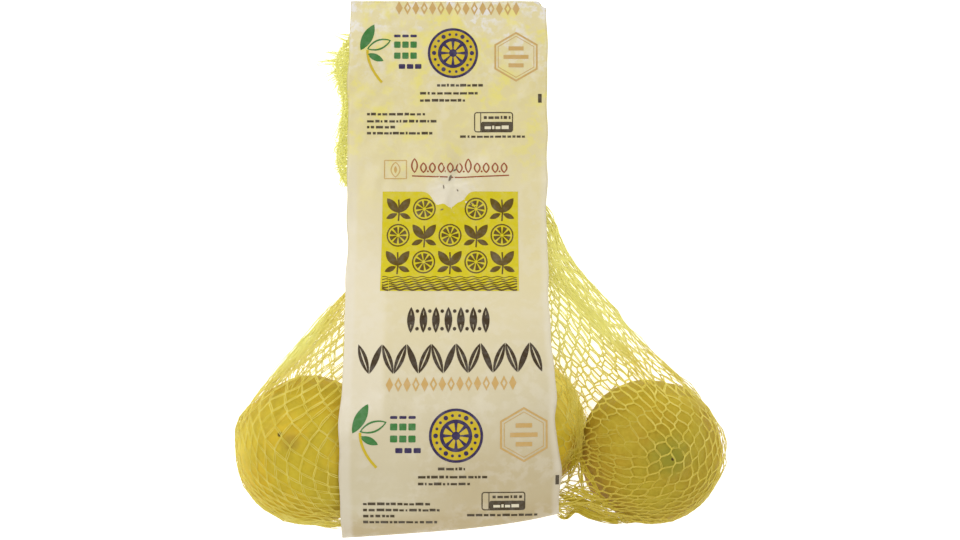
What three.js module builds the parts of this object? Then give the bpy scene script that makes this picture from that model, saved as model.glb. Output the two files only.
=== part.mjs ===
// A net of three lemons, lying on its back with its printed band up.
// Millimetres. X runs across the band, Y up the band to the loose end, Z up from the surface it lies on.
// The net is one closed skin round the fruit: its twine stands proud and each mesh dips in a little.
// The band is a thin film that lies over the net from below the fruit to past the loose end.

import * as THREE from "three";

// ---- Driving dimensions ----

const TWINE = 1.3; // thickness of the net's twine, which keeps the skin off the fruit
const MESH_DIP = 0.9; // how far the middle of a mesh dips below its twine
const LOOSE_DIP = 0.3; // share of that dip in the gather and the loose end
const MESHES_ROUND = 48; // meshes round the tube of net
const FRUIT_ROWS = 34; // half meshes from the bottom seam to the gather
const TAIL_ROWS = 14; // half meshes from the gather to the loose end

const FILM = { thickness: 0.7, left: -60.5, rightAtTop: 31, rightAtBottom: 35, top: 121.8 };
const FILM_BOTTOM = { left: -121.8, rise: 11.2 }; // the bottom edge climbs towards the right
const FILM_COLUMNS = 16;
const FILM_ROWS = 38;
const FILM_CLEARANCE = 1.5; // between the film's underside and the net
const HEM = { clearance: 1.3, above: -98, below: -108 }; // more of it towards the film's bottom edge
const EDGE_RISE = 0.66; // how steeply the net may rise beside the film's edges

// Height of the film along its middle: [y, z].
const FILM_RISE = [
  [-122, 49.5],
  [-112, 57.5],
  [-100, 64.5],
  [-86, 69.5],
  [-70, 69.8],
  [-54, 65],
  [12, 19.5],
  [32, 12.5],
  [70, 9.5],
  [122, 8],
];
// The strip left of the fold line slopes down between these heights up the band.
const FOLD = { x: -41, slope: 0.3, above: [-78, -50], below: [22, -6] };
const DROOP = { x: 6, rate: 0.0062, above: -5, full: -60 }; // the right edge droops past the middle lemon
const PUCKER = { x: -13, y: 36, reach: 16, height: 1.1, folds: 3 }; // where a hook gathers the film
const RIPPLE = { height: 0.5, across: 31, along: 10.3, skew: 17 };

// Each lemon: its centre (its height is worked out), the way its tip points, its girth and its length.
const LEMONS = [
  { centre: [-75.7, -84.2], tip: [-0.22, 0.25, 0.943], girth: 65, length: 70, nipple: 5 },
  { centre: [11.5, -70.0], tip: [0.985, 0.1, 0.03], girth: 64, length: 70, nipple: 5 },
  { centre: [76.9, -84.8], tip: [0.153, -0.037, 0.987], girth: 63, length: 68, nipple: 4.5 },
];
const NIPPLE_ANGLE = 0.24; // half angle of the nipple seen from the lemon's centre, in radians
const NECK = { height: 1.5, angle: 0.4 }; // the low shoulder at the stem end

const SEAM = { left: -57, right: 42, inset: 4, halfThickness: 1.8 }; // the net's welded bottom edge
const GATHER = { y: 30, low: 0.4, high: 9 }; // the flat waist below the hook
// The stiff twine stands off the fruit over these balls of air, on the outer lemons' shoulders.
const STAND_OFF = [
  { at: [-83.2, -71.7, 25], radius: 22 },
  { at: [-75.5, -54.6, 21], radius: 18 },
  { at: [-65.6, -34.9, 16], radius: 12 },
  { at: [82.5, -71, 27], radius: 20.8 },
];
const PINCH = { at: [43.5, -82, 46], reach: 12, pull: 0.06 }; // the net is tucked in between two lemons
// The roomy bag that the net is drawn tight from, at shares of the way from the seam to the gather.
const ROOMY = {
  halfWidth: [[0, 48], [0.12, 108], [0.35, 119], [1, 29]],
  halfHeight: [[0, 1], [0.12, 48], [0.35, 48], [1, 4.5]],
  middleX: [[0, -12], [0.12, 0], [0.35, 0], [1, 2]],
  y: [[0, -114], [0.12, -122], [0.35, -86], [1, GATHER.y]],
  low: [[0, 48], [0.12, 0], [1, 0]],
};
const PULL = 0.3; // share of the way to its neighbours' mean that a knot goes in one step
const PULL_ALONG = { left: 1.6, right: 0 }; // pull of the knots a mesh along; the right side hangs slacker
const LONGEST_STRAND = 11; // twine from knot to knot
const SLIP = 0.06; // share of a step that a knot slides where it lies on the rind
const SAG = 0.02;
const DRAWING_STEPS = 800;

// The loose end fans out from the gather to its cut edge, which sticks out to the left of the film.
// Its near side is short. Its far side runs up and over. Both are [share of the loose end, x or y].
const TAIL_NEAR_X = [
  [0, -27],
  [0.1, -23],
  [0.2, -21.5],
  [0.4, -29],
  [0.7, -50],
  [1, -63],
];
const TAIL_NEAR_Y = [
  [0, 30],
  [0.2, 38.5],
  [1, 36.5],
];
const TAIL_FAR_X = [
  [0, 31],
  [0.1, 29.5],
  [0.48, 29],
  [0.6, 21],
  [1, -56],
];
const TAIL_FAR_Y = [
  [0, 30],
  [0.1, 41],
  [0.48, 103],
  [0.6, 111],
  [1, 112],
];
// The cut edge: [y, x].
const FRINGE = [
  [36, -63],
  [45, -67],
  [58, -68.5],
  [75, -65.5],
  [93, -71.5],
  [107, -62],
  [112, -56],
];
const TAIL = { thickness: 5.2, lump: 0.8, lumpWidth: 11, lumpLength: 6.5 };

// ---- Small helpers ----

const clamp = THREE.MathUtils.clamp;
const lerp = THREE.MathUtils.lerp;
const smooth = (value, from, to) => {
  const t = clamp((value - from) / (to - from), 0, 1);
  return t * t * (3 - 2 * t);
};

// A smooth curve through stations [[at, value], ...], flat beyond both ends.
function along(stations, at) {
  const last = stations.length - 1;
  if (at <= stations[0][0]) return stations[0][1];
  if (at >= stations[last][0]) return stations[last][1];
  const k = stations.findIndex((station) => station[0] > at) - 1;
  const slope = (i) => {
    const before = stations[Math.max(i - 1, 0)];
    const after = stations[Math.min(i + 1, last)];
    return (after[1] - before[1]) / (after[0] - before[0]);
  };
  const [x0, y0] = stations[k];
  const [x1, y1] = stations[k + 1];
  const t = (at - x0) / (x1 - x0);
  const bend = (x1 - x0) * t * (1 - t);
  return lerp(y0, y1, t * t * (3 - 2 * t)) + bend * ((1 - t) * slope(k) - t * slope(k + 1));
}

// ---- The film's surface ----

const filmRight = (y) => lerp(FILM.rightAtTop, FILM.rightAtBottom, smooth(y, -10, -90));

function filmBottom(x) {
  const u = clamp((x - FILM.left) / (FILM.rightAtBottom - FILM.left), 0, 1);
  return FILM_BOTTOM.left + FILM_BOTTOM.rise * (0.6 * u + 0.4 * u ** 3);
}

function filmHeight(x, y) {
  const folding = smooth(y, ...FOLD.above) * smooth(y, ...FOLD.below);
  const folded = FOLD.slope * Math.max(0, FOLD.x - x) * folding;
  const drooped = DROOP.rate * Math.max(0, x - DROOP.x) ** 2 * smooth(y, DROOP.above, DROOP.full);
  const dx = x - PUCKER.x;
  const dy = y - PUCKER.y;
  const far = Math.hypot(dx, dy) / PUCKER.reach;
  const pucker = PUCKER.height * far * Math.exp(1 - far * far) * Math.cos(PUCKER.folds * Math.atan2(dy, dx));
  const ripple = Math.sin(x / RIPPLE.across + 2) * Math.sin(y / RIPPLE.along + x / RIPPLE.skew);
  return along(FILM_RISE, y) - folded - drooped + pucker + RIPPLE.height * ripple;
}

// ---- The lemons that the net is stretched over ----

function makeLemon({ centre, tip, girth, length, nipple }) {
  const axis = new THREE.Vector3(...tip).normalize();
  const round = girth / 2;
  const half = length / 2;
  const height = TWINE + Math.hypot(half * axis.z, round * Math.sqrt(1 - axis.z ** 2));
  return { at: new THREE.Vector3(centre[0], centre[1], height), axis, round, half, nipple };
}

// Distance from the lemon's centre to its rind, at an angle from its tip.
function rindDistance(lemon, angle) {
  const { half, round } = lemon;
  const body = (half * round) / Math.hypot(round * Math.cos(angle), half * Math.sin(angle));
  const nipple = lemon.nipple * Math.exp(-((angle / NIPPLE_ANGLE) ** 2));
  const neck = NECK.height * Math.exp(-(((Math.PI - angle) / NECK.angle) ** 2));
  return body + nipple + neck;
}

const lemons = LEMONS.map(makeLemon);
const standOffs = STAND_OFF.map(({ at, radius }) => ({ at: new THREE.Vector3(...at), radius }));
const away = new THREE.Vector3();

// Moves a point out of every lemon, to a gap off its rind, and says whether it was in one.
function pushOut(point, gap) {
  let touched = false;
  for (const lemon of lemons) {
    away.subVectors(point, lemon.at);
    const distance = away.length();
    if (distance > lemon.half + lemon.nipple + gap) continue;
    const angle = Math.acos(clamp(away.dot(lemon.axis) / distance, -1, 1));
    const wanted = rindDistance(lemon, angle) + gap;
    if (distance < wanted) {
      point.copy(lemon.at).addScaledVector(away, wanted / distance);
      touched = true;
    }
  }
  return touched;
}

function pushOffShoulders(point) {
  for (const ball of standOffs) {
    away.subVectors(point, ball.at);
    if (away.length() < ball.radius) point.copy(ball.at).add(away.setLength(ball.radius));
  }
}

// The highest that the net goes under the film.
function ceiling(x, y) {
  return filmHeight(x, y) - FILM.thickness - FILM_CLEARANCE - HEM.clearance * smooth(y, HEM.above, HEM.below);
}

// Keeps a point above the ground and under the film, or lower than a slope beside the film's edges.
function keepBetween(point) {
  const x = clamp(point.x, FILM.left, filmRight(point.y));
  const y = Math.max(point.y, filmBottom(x));
  const beside = Math.hypot(point.x - x, point.y - y);
  point.z = clamp(point.z, 0, ceiling(x, y) + EDGE_RISE * beside);
}

// ---- The net: rows of knots round a tube, each row half a mesh round from the last ----

const knotShare = (row, column) => (column + (row % 2) / 2) / MESHES_ROUND;

// Share 0 of a loop is its left end, 0.25 the middle of its top and 0.5 its right end.
const acrossLoop = (share) => 1 - Math.abs(2 * share - 1);
const upLoop = (share) => Math.sin(2 * Math.PI * share);
// The same for a flat loop, which keeps its thickness nearly to its two edges.
const upFlatLoop = (share) => Math.sign(upLoop(share)) * Math.sqrt(Math.abs(upLoop(share)));

function seamKnot(share) {
  const x = lerp(SEAM.left, SEAM.right, acrossLoop(share));
  const y = filmBottom(x) + SEAM.inset;
  const middle = ceiling(x, y) - SEAM.halfThickness;
  return new THREE.Vector3(x, y, middle + SEAM.halfThickness * upFlatLoop(share));
}

// A knot's place before the net is drawn tight: a roomy bag round all the fruit.
function roomyKnot(row, share) {
  const t = row / FRUIT_ROWS;
  const halfHeight = along(ROOMY.halfHeight, t);
  const x = along(ROOMY.middleX, t) - along(ROOMY.halfWidth, t) * Math.cos(2 * Math.PI * share);
  const z = along(ROOMY.low, t) + halfHeight * (1 + upLoop(share));
  return new THREE.Vector3(x, along(ROOMY.y, t), z);
}

function tailKnot(row, share) {
  const t = (row - FRUIT_ROWS) / TAIL_ROWS;
  const across = acrossLoop(share);
  const up = upFlatLoop(share);
  const y = lerp(along(TAIL_NEAR_Y, t), along(TAIL_FAR_Y, t), across);
  const straight = lerp(along(TAIL_NEAR_X, t), along(TAIL_FAR_X, t), across);
  const x = lerp(straight, along(FRINGE, y), smooth(t, 0.6, 1));
  const lumps = Math.sin(x / TAIL.lumpWidth + 1.3) * Math.sin(y / TAIL.lumpLength) * smooth(t, 0, 0.3);
  const full = lerp(GATHER.high, TAIL.thickness, smooth(t, 0, 0.4));
  const middle = full / 2 + GATHER.low * (1 - t);
  const knot = new THREE.Vector3(x, y, middle + up * (full / 2 + TAIL.lump * lumps * Math.max(up, 0)));
  keepBetween(knot);
  return knot;
}

// Draws the roomy bag tight: each knot goes part way to the mean of its neighbours, no strand of twine
// grows past its longest, and every knot stays outside the fruit.
function drawTight(rows) {
  const pinch = new THREE.Vector3(...PINCH.at);
  const mean = new THREE.Vector3();
  const strand = new THREE.Vector3();
  const before = new THREE.Vector3();
  for (let step = 0; step < DRAWING_STEPS; step++) {
    for (let row = 1; row < FRUIT_ROWS; row++) {
      const back = row % 2 ? 0 : MESHES_ROUND - 1; // the knot half a mesh to the left in the next row
      for (let column = 0; column < MESHES_ROUND; column++) {
        const knot = rows[row][column];
        const left = (column + back) % MESHES_ROUND;
        const right = (left + 1) % MESHES_ROUND;
        const tied = [rows[row - 1][left], rows[row - 1][right], rows[row + 1][left], rows[row + 1][right]];
        mean.set(0, 0, 0);
        tied.forEach((other) => mean.addScaledVector(other, 0.25));
        if (row > 1 && row < FRUIT_ROWS - 1) {
          const pull = lerp(PULL_ALONG.left, PULL_ALONG.right, acrossLoop(knotShare(row, column)));
          mean.addScaledVector(rows[row - 2][column], pull).addScaledVector(rows[row + 2][column], pull);
          mean.divideScalar(1 + 2 * pull);
        }
        before.copy(knot);
        knot.lerp(mean, PULL);
        knot.z -= SAG;
        if (knotShare(row, column) < 0.5) {
          const near = Math.hypot(knot.x - pinch.x, knot.y - pinch.y) / PINCH.reach;
          knot.lerp(pinch, PINCH.pull * Math.exp(-near * near));
        }
        for (const other of tied) {
          const length = strand.subVectors(other, knot).length();
          const excess = Math.max(0, length - LONGEST_STRAND);
          knot.addScaledVector(strand, (0.5 * excess) / length);
        }
        if (pushOut(knot, TWINE)) {
          knot.lerp(before, 1 - SLIP);
          pushOut(knot, TWINE);
        }
        pushOffShoulders(knot);
        keepBetween(knot);
      }
    }
  }
}

function makeKnots() {
  const rows = [];
  for (let row = 0; row <= FRUIT_ROWS + TAIL_ROWS; row++) {
    const knots = [];
    for (let column = 0; column < MESHES_ROUND; column++) {
      const share = knotShare(row, column);
      if (row === 0) knots.push(seamKnot(share));
      else if (row < FRUIT_ROWS) knots.push(roomyKnot(row, share));
      else knots.push(tailKnot(row, share));
    }
    rows.push(knots);
  }
  drawTight(rows);
  return rows;
}

// How deep the meshes of a row dip: not at all at the two closed ends, where the net is thin.
function dipOf(row) {
  const fromEnds = Math.min(row, FRUIT_ROWS + TAIL_ROWS - row);
  const loose = lerp(1, LOOSE_DIP, smooth(row, FRUIT_ROWS - 6, FRUIT_ROWS - 1));
  return MESH_DIP * loose * smooth(fromEnds, 0, 4);
}

// The middle of a mesh, sunk towards the fruit and never into it.
function meshMiddle(corners, dip) {
  const middle = new THREE.Vector3();
  corners.forEach((corner) => middle.addScaledVector(corner, 0.25));
  const [bottom, right, top, left] = corners;
  const outward = new THREE.Vector3().crossVectors(
    new THREE.Vector3().subVectors(right, left),
    new THREE.Vector3().subVectors(top, bottom),
  );
  middle.addScaledVector(outward.normalize(), -dip);
  pushOut(middle, TWINE - dip);
  middle.z = Math.max(middle.z, 0);
  return middle;
}

function netGeometry() {
  const rows = makeKnots();
  const last = rows.length - 1;
  const positions = [];
  const faces = [];
  const add = (point) => positions.push(point.x, point.y, point.z) / 3 - 1;
  const index = rows.map((knots) => knots.map(add));
  const column = (i) => (i + MESHES_ROUND) % MESHES_ROUND;

  for (let row = 0; row <= last; row++) {
    const odd = row % 2;
    for (let i = 0; i < MESHES_ROUND; i++) {
      const nextLeft = column(i - 1 + odd);
      const nextRight = column(i + odd);
      if (row + 2 <= last) {
        const corners = [[row, i], [row + 1, nextRight], [row + 2, i], [row + 1, nextLeft]];
        const middle = add(meshMiddle(corners.map(([r, c]) => rows[r][c]), dipOf(row + 1)));
        const ring = corners.map(([r, c]) => index[r][c]);
        ring.forEach((corner, k) => faces.push(corner, ring[(k + 1) % 4], middle));
      }
      // Half meshes along the two closed ends.
      if (row === 0) faces.push(index[0][i], index[0][column(i + 1)], index[1][i]);
      const below = index[last - 1][column(i + odd)];
      if (row === last) faces.push(index[last][column(i + 1)], index[last][i], below);
    }
  }
  // The flat ends: each knot of the top layer is joined to the one below it.
  const half = MESHES_ROUND / 2;
  for (let k = 0; k < half; k++) {
    closeEnd(faces, index[0], k, 0, false);
    closeEnd(faces, index[last], k, last % 2, true);
  }
  return solidGeometry(positions, faces);
}

// Two triangles across a flat end, between knots k and k + 1 of its top and the pair under them.
function closeEnd(faces, knots, k, shift, turned) {
  const under = (i) => (MESHES_ROUND - i - shift + MESHES_ROUND) % MESHES_ROUND;
  const quad = [knots[k], knots[k + 1], knots[under(k + 1)], knots[under(k)]];
  for (const triangle of [[0, 2, 1], [0, 3, 2]]) {
    const [a, b, c] = (turned ? [...triangle].reverse() : triangle).map((i) => quad[i]);
    if (a !== b && b !== c && c !== a) faces.push(a, b, c);
  }
}

function solidGeometry(positions, faces) {
  const geometry = new THREE.BufferGeometry();
  geometry.setAttribute("position", new THREE.Float32BufferAttribute(positions, 3));
  geometry.setIndex(faces);
  geometry.computeVertexNormals();
  return geometry;
}

// ---- The band: the film's surface given a thickness ----

function bandGeometry() {
  const positions = [];
  const faces = [];
  const across = FILM_COLUMNS + 1;
  const layer = across * (FILM_ROWS + 1);
  for (const sunk of [0, FILM.thickness]) {
    for (let row = 0; row <= FILM_ROWS; row++) {
      for (let i = 0; i <= FILM_COLUMNS; i++) {
        const u = i / FILM_COLUMNS;
        const v = row / FILM_ROWS;
        const xAtBottom = lerp(FILM.left, FILM.rightAtBottom, u);
        const y = lerp(filmBottom(xAtBottom), FILM.top, v);
        const x = lerp(FILM.left, filmRight(y), u);
        positions.push(x, y, filmHeight(x, y) - sunk);
      }
    }
  }
  const quad = (a, b, c, d) => faces.push(a, b, c, a, c, d);
  for (let row = 0; row < FILM_ROWS; row++) {
    for (let i = 0; i < FILM_COLUMNS; i++) {
      const a = row * across + i;
      quad(a, a + 1, a + 1 + across, a + across);
      quad(a + layer, a + across + layer, a + 1 + across + layer, a + 1 + layer);
    }
    const left = row * across;
    const right = left + FILM_COLUMNS;
    quad(left, left + across, left + across + layer, left + layer);
    quad(right + across, right, right + layer, right + across + layer);
  }
  for (let i = 0; i < FILM_COLUMNS; i++) {
    const top = FILM_ROWS * across + i;
    quad(i + 1, i, i + layer, i + 1 + layer);
    quad(top, top + 1, top + 1 + layer, top + layer);
  }
  return solidGeometry(positions, faces);
}

// ---- The part ----

const netMaterial = new THREE.MeshStandardMaterial({ color: 0xd6b83a, roughness: 0.5, metalness: 0 });
const filmMaterial = new THREE.MeshStandardMaterial({ color: 0xe0d6b0, roughness: 0.4, metalness: 0 });

const netBag = new THREE.Mesh(netGeometry(), netMaterial);
netBag.name = "net_bag";

const labelBand = new THREE.Mesh(bandGeometry(), filmMaterial);
labelBand.name = "label_band";

const group = new THREE.Group();
group.add(netBag, labelBand);

export default group;
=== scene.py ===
"""Net of lemons: builds the yellow net, the fruit in it and the printed film band over it."""

from functools import lru_cache

import bpy
import numpy as np
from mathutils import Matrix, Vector


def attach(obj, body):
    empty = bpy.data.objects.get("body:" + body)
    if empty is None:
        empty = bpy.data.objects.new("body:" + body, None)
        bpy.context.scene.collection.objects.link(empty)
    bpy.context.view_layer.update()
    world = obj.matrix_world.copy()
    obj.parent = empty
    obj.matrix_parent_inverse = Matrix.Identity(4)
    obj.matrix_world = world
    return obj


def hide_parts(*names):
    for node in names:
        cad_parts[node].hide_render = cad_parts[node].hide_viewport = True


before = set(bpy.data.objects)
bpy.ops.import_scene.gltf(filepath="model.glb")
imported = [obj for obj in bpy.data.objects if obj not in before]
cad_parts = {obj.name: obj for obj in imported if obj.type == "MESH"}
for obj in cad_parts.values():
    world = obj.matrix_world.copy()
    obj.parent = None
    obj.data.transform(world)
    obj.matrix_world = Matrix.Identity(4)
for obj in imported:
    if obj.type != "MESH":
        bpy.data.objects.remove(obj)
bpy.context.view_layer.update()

bl_info = {
    "name": "Net of lemons",
    "version": (1, 0, 0),
    "blender": (4, 5, 0),
    "location": "3D View > Sidebar > Net of lemons",
    "description": "Builds a knitted net of lemons with a printed film band",
    "category": "Add Mesh",
}

MM = 0.001

# ---- Sizes that the CAD source drives, in millimetres ----

TWINE = 1.3
MESHES_ROUND, FRUIT_ROWS, TAIL_ROWS = 48, 34, 14
FILM_THICKNESS, FILM_LEFT, FILM_RIGHT_TOP, FILM_RIGHT_BOTTOM, FILM_TOP = 0.7, -60.5, 31, 35, 121.8
FILM_BOTTOM_LEFT, FILM_BOTTOM_RISE = -121.8, 11.2
FILM_CLEARANCE, HEM_CLEARANCE, HEM_ABOVE, HEM_BELOW, EDGE_RISE = 1.5, 1.3, -98, -108, 0.66
FILM_RISE = [
    (-122, 49.5), (-112, 57.5), (-100, 64.5), (-86, 69.5), (-70, 69.8), (-54, 65),
    (12, 19.5), (32, 12.5), (70, 9.5), (122, 8),
]
FOLD_X, FOLD_SLOPE, FOLD_ABOVE, FOLD_BELOW = -41, 0.3, (-78, -50), (22, -6)
DROOP_X, DROOP_RATE, DROOP_ABOVE, DROOP_FULL = 6, 0.0062, -5, -60
PUCKER_X, PUCKER_Y, PUCKER_REACH, PUCKER_HEIGHT, PUCKER_FOLDS = -13, 36, 16, 1.1, 3
RIPPLE_HEIGHT, RIPPLE_ACROSS, RIPPLE_ALONG, RIPPLE_SKEW = 0.5, 31, 10.3, 17

# Each lemon: centre on plan, the way its tip points, girth, length and nipple.
LEMONS = {
    "left": ((-75.7, -84.2), (-0.22, 0.25, 0.943), 65, 70, 5),
    "middle": ((11.5, -70.0), (0.985, 0.1, 0.03), 64, 70, 5),
    "right": ((76.9, -84.8), (0.153, -0.037, 0.987), 63, 68, 4.5),
}
NIPPLE_ANGLE, NECK_HEIGHT, NECK_ANGLE = 0.24, 1.5, 0.4

SEAM_LEFT, SEAM_RIGHT, SEAM_INSET, SEAM_HALF_THICKNESS = -57, 42, 4, 1.8
GATHER_Y, GATHER_LOW, GATHER_HIGH = 30, 0.4, 9
# Round shoulders that the net keeps off beside the fruit: centre and radius.
STAND_OFF = [
    ((-83.2, -71.7, 25), 22), ((-75.5, -54.6, 21), 18), ((-65.6, -34.9, 16), 12), ((82.5, -71, 27), 20.8),
]
PINCH_AT, PINCH_REACH, PINCH_PULL = (43.5, -82, 46), 12, 0.06
ROOMY_HALF_WIDTH = [(0, 48), (0.12, 108), (0.35, 119), (1, 29)]
ROOMY_HALF_HEIGHT = [(0, 1), (0.12, 48), (0.35, 48), (1, 4.5)]
ROOMY_MIDDLE_X = [(0, -12), (0.12, 0), (0.35, 0), (1, 2)]
ROOMY_Y = [(0, -114), (0.12, -122), (0.35, -86), (1, GATHER_Y)]
ROOMY_LOW = [(0, 48), (0.12, 0), (1, 0)]
PULL, PULL_ALONG_LEFT, PULL_ALONG_RIGHT = 0.3, 1.6, 0.0
LONGEST_STRAND, SLIP, SAG, DRAWING_STEPS = 11, 0.06, 0.02, 800

TAIL_NEAR_X = [(0, -27), (0.1, -23), (0.2, -21.5), (0.4, -29), (0.7, -50), (1, -63)]
TAIL_NEAR_Y = [(0, 30), (0.2, 38.5), (1, 36.5)]
TAIL_FAR_X = [(0, 31), (0.1, 29.5), (0.48, 29), (0.6, 21), (1, -56)]
TAIL_FAR_Y = [(0, 30), (0.1, 41), (0.48, 103), (0.6, 111), (1, 112)]
FRINGE = [(36, -63), (45, -67), (58, -68.5), (75, -65.5), (93, -71.5), (107, -62), (112, -56)]
TAIL_THICKNESS, TAIL_LUMP, TAIL_LUMP_WIDTH, TAIL_LUMP_LENGTH = 5.2, 0.8, 11, 6.5

# ---- Sizes of the dressed pieces, in millimetres ----

RIND_GROWN = 0.6  # the rind stands this far over the CAD fruit, close under the net
LOWEST_RIND = 0.3
# Lemons that lie a little otherwise than their plain solids.
SETTLED = {
    "middle": ((11.5, -72.4), (1.0, 0.0, 0.03), 64, 70, 5),
    "right": ((76.9, -84.8), (0.153, 0.009, 0.987), 63, 68, 4.5),
}
# Where a lemon isn't evenly round: the way from its centre, how far it stands out, how wide in radians.
BULGES = {
    "middle": [((1.0, 0.0, 0.03), -5, 0.24), ((0.9, -0.42, 0), 2.2, 0.35)],
}
# The rind's relief. Waves are (length, height). What goes round the tip or stem is (height, width, angle).
RIND_WAVES, RIND_RANGE, RIND_SINK = ((19, 0.3), (6.5, 0.1)), (-0.6, 0.45), 0.15
FURROW, TIP_FOLDS = (0.45, 0.07, 0.34), (0.22, 0.16, 0.27)
STEM_FOLDS, STEM_HOLLOW = (0.3, 0.12, 0.2), (1.3, 0.11)
STEM_BUTTON = [(2.9, -1.6), (2.6, -0.75), (1.5, -0.45), (0.7, -0.6)]  # radius, and height over the stem end

YARN_GAP = 0.85  # from the CAD fruit to the middle of a yarn
LOWEST_YARN = 0.42  # the middle of a yarn that lies on the ground
NET_COLUMNS, NET_FRUIT_ROWS, NET_TAIL_ROWS = 92, 36, 14
STRAND_SEGMENTS = {"top": 3, "under": 2, "loose": 2}
CLOSER_ON_RIGHT = 0.45  # how much closer the rows are on the front of the right lemon
# How unevenly the knots lie where the net is tight, slack and loose.
JITTER, DRIFT, DRIFT_LENGTH = (0.22, 0.36, 0.6), (0.25, 0.5, 1.0), 24
# Values where the net is tight and where it is slack: how far the joints reach, how strands bow and
# curl, and how far apart their two yarns lie, in half yarns.
JOINT_REACH, BOW, CURL, YARNS_APART = (0.35, 0.75), (0.12, 0.28), (0.12, 0.4), (1.5, 1.0)
THICKER_LEFT, THICKER_RIGHT = 0.5, 0.55  # how much thicker the yarns look in the free net beside the band
UNEVEN_WIDTH = (0.85, 1.15)
YARN_SIDES = 4
BUNCHED_THICKER = 1.3
TUCK, TUCK_REACH, TUCK_PULL = (43.6, -81.5, 36), 15, 0.36  # where the net is tucked in between two lemons
# Folds of the net beside the film: the line, then the reach and the pull outside it and inside it.
FOLDS = [
    (((33.0, -3.5), (78.8, -54.5)), (3, 0.4), (15, 0.5)),
    (((-107.4, -67), (-64, -15.2)), (40, 0.85), (12, 0.45)),
]
NECK_Y, NECK_REACH, NECK_PULL = 4, 10, 2.2  # where the net's right edge leaves the film, drawn in this far
SCALLOPS = [
    (35, -2), (39, -3.2), (43.3, 1.8), (53, -1.4), (59, 0.6), (65, -1.0), (72, 1.2), (80, 1.4), (92, 1.2),
]
TOP_STEP, TOP_STEP_ACROSS = 3.0, (0.955, 0.985)  # how far the film's top is cut back at its right corner
EDGE_STRAY, EDGE_STRAY_LENGTH = 0.35, 26
FILM_SHEET = 0.12  # thickness of the film sheet
FILM_SINK = 0.35  # its middle lies this far under the CAD band's top
FILM_COLUMNS, FILM_ROWS = 80, 200
FINE_PUCKER_REACH, FINE_PUCKER_HEIGHT, FINE_PUCKER_FOLDS = 11, 0.55, 4.5
# Two waves that cross make the creases: their lengths across and along, and how far they stray.
CREASE_WAVES, CREASE_WANDER = ((5.1, 17, 1.7), (-23, 9.3, 1.3)), 37
CREASE_HEIGHT, CREASE_HIGHER = 0.10, [(0.16, (5, 40)), (0.12, (-70, -100))]
# The edges curl: height, length, start, how far the curl strays and how far in it reaches.
CURL_LEFT, CURL_RIGHT = (0.35, 4.7, 0, 1.2, 3), (0.4, 6.1, 2, 1.1, 3.5)
# How far the film's edges lie to the right of their lines, from the hem up.
RIGHT_EDGE_WAVE = [
    (-109, -0.2), (-98, 0), (-91, 0.6), (-86, 0), (-77, -1.3), (-68, -1.7), (-60, -0.2), (-51, -0.3),
    (-42, 0.6), (-30, 0), (25, 0.1), (50, 0.35), (80, 0.35), (95, 0.5), (110, 0.9), (122, 0.8),
]
LEFT_EDGE_WAVE = [(-122, 0), (0, 0), (30, -0.8), (85, -0.8), (105, 0), (122, 0)]
INK_LIFT, INK_LAYER = 0.08, 0.045
INK_EDGE = 1.5  # longest edge of a printed triangle

# How far the loose end's yarns lie inside its line; only the strays reach the line there.
FRINGE_DRAWN_IN = [(36, 0.5), (50, 1.4), (58, 3.0), (75, 1.4), (93, 4.4), (103, 2.6), (112, 2.0)]
FRINGE_YARNS = 52  # yarns along the loose end
# Stray yarns at the loose end: place along it, the way they point in degrees, length, how many.
STRAYS = [
    (93.5, 180, 9.5, 6), (97, 175, 8.5, 5), (90, 205, 6, 5), (86, 230, 5, 4), (107, 168, 8, 3),
    (103, 160, 7, 3), (69, 257, 12, 4), (64, 250, 9, 2), (45, 190, 3, 4), (41, 250, 5, 4),
    (58, 262, 9, 2), (38, 265, 5, 3),
]
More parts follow.
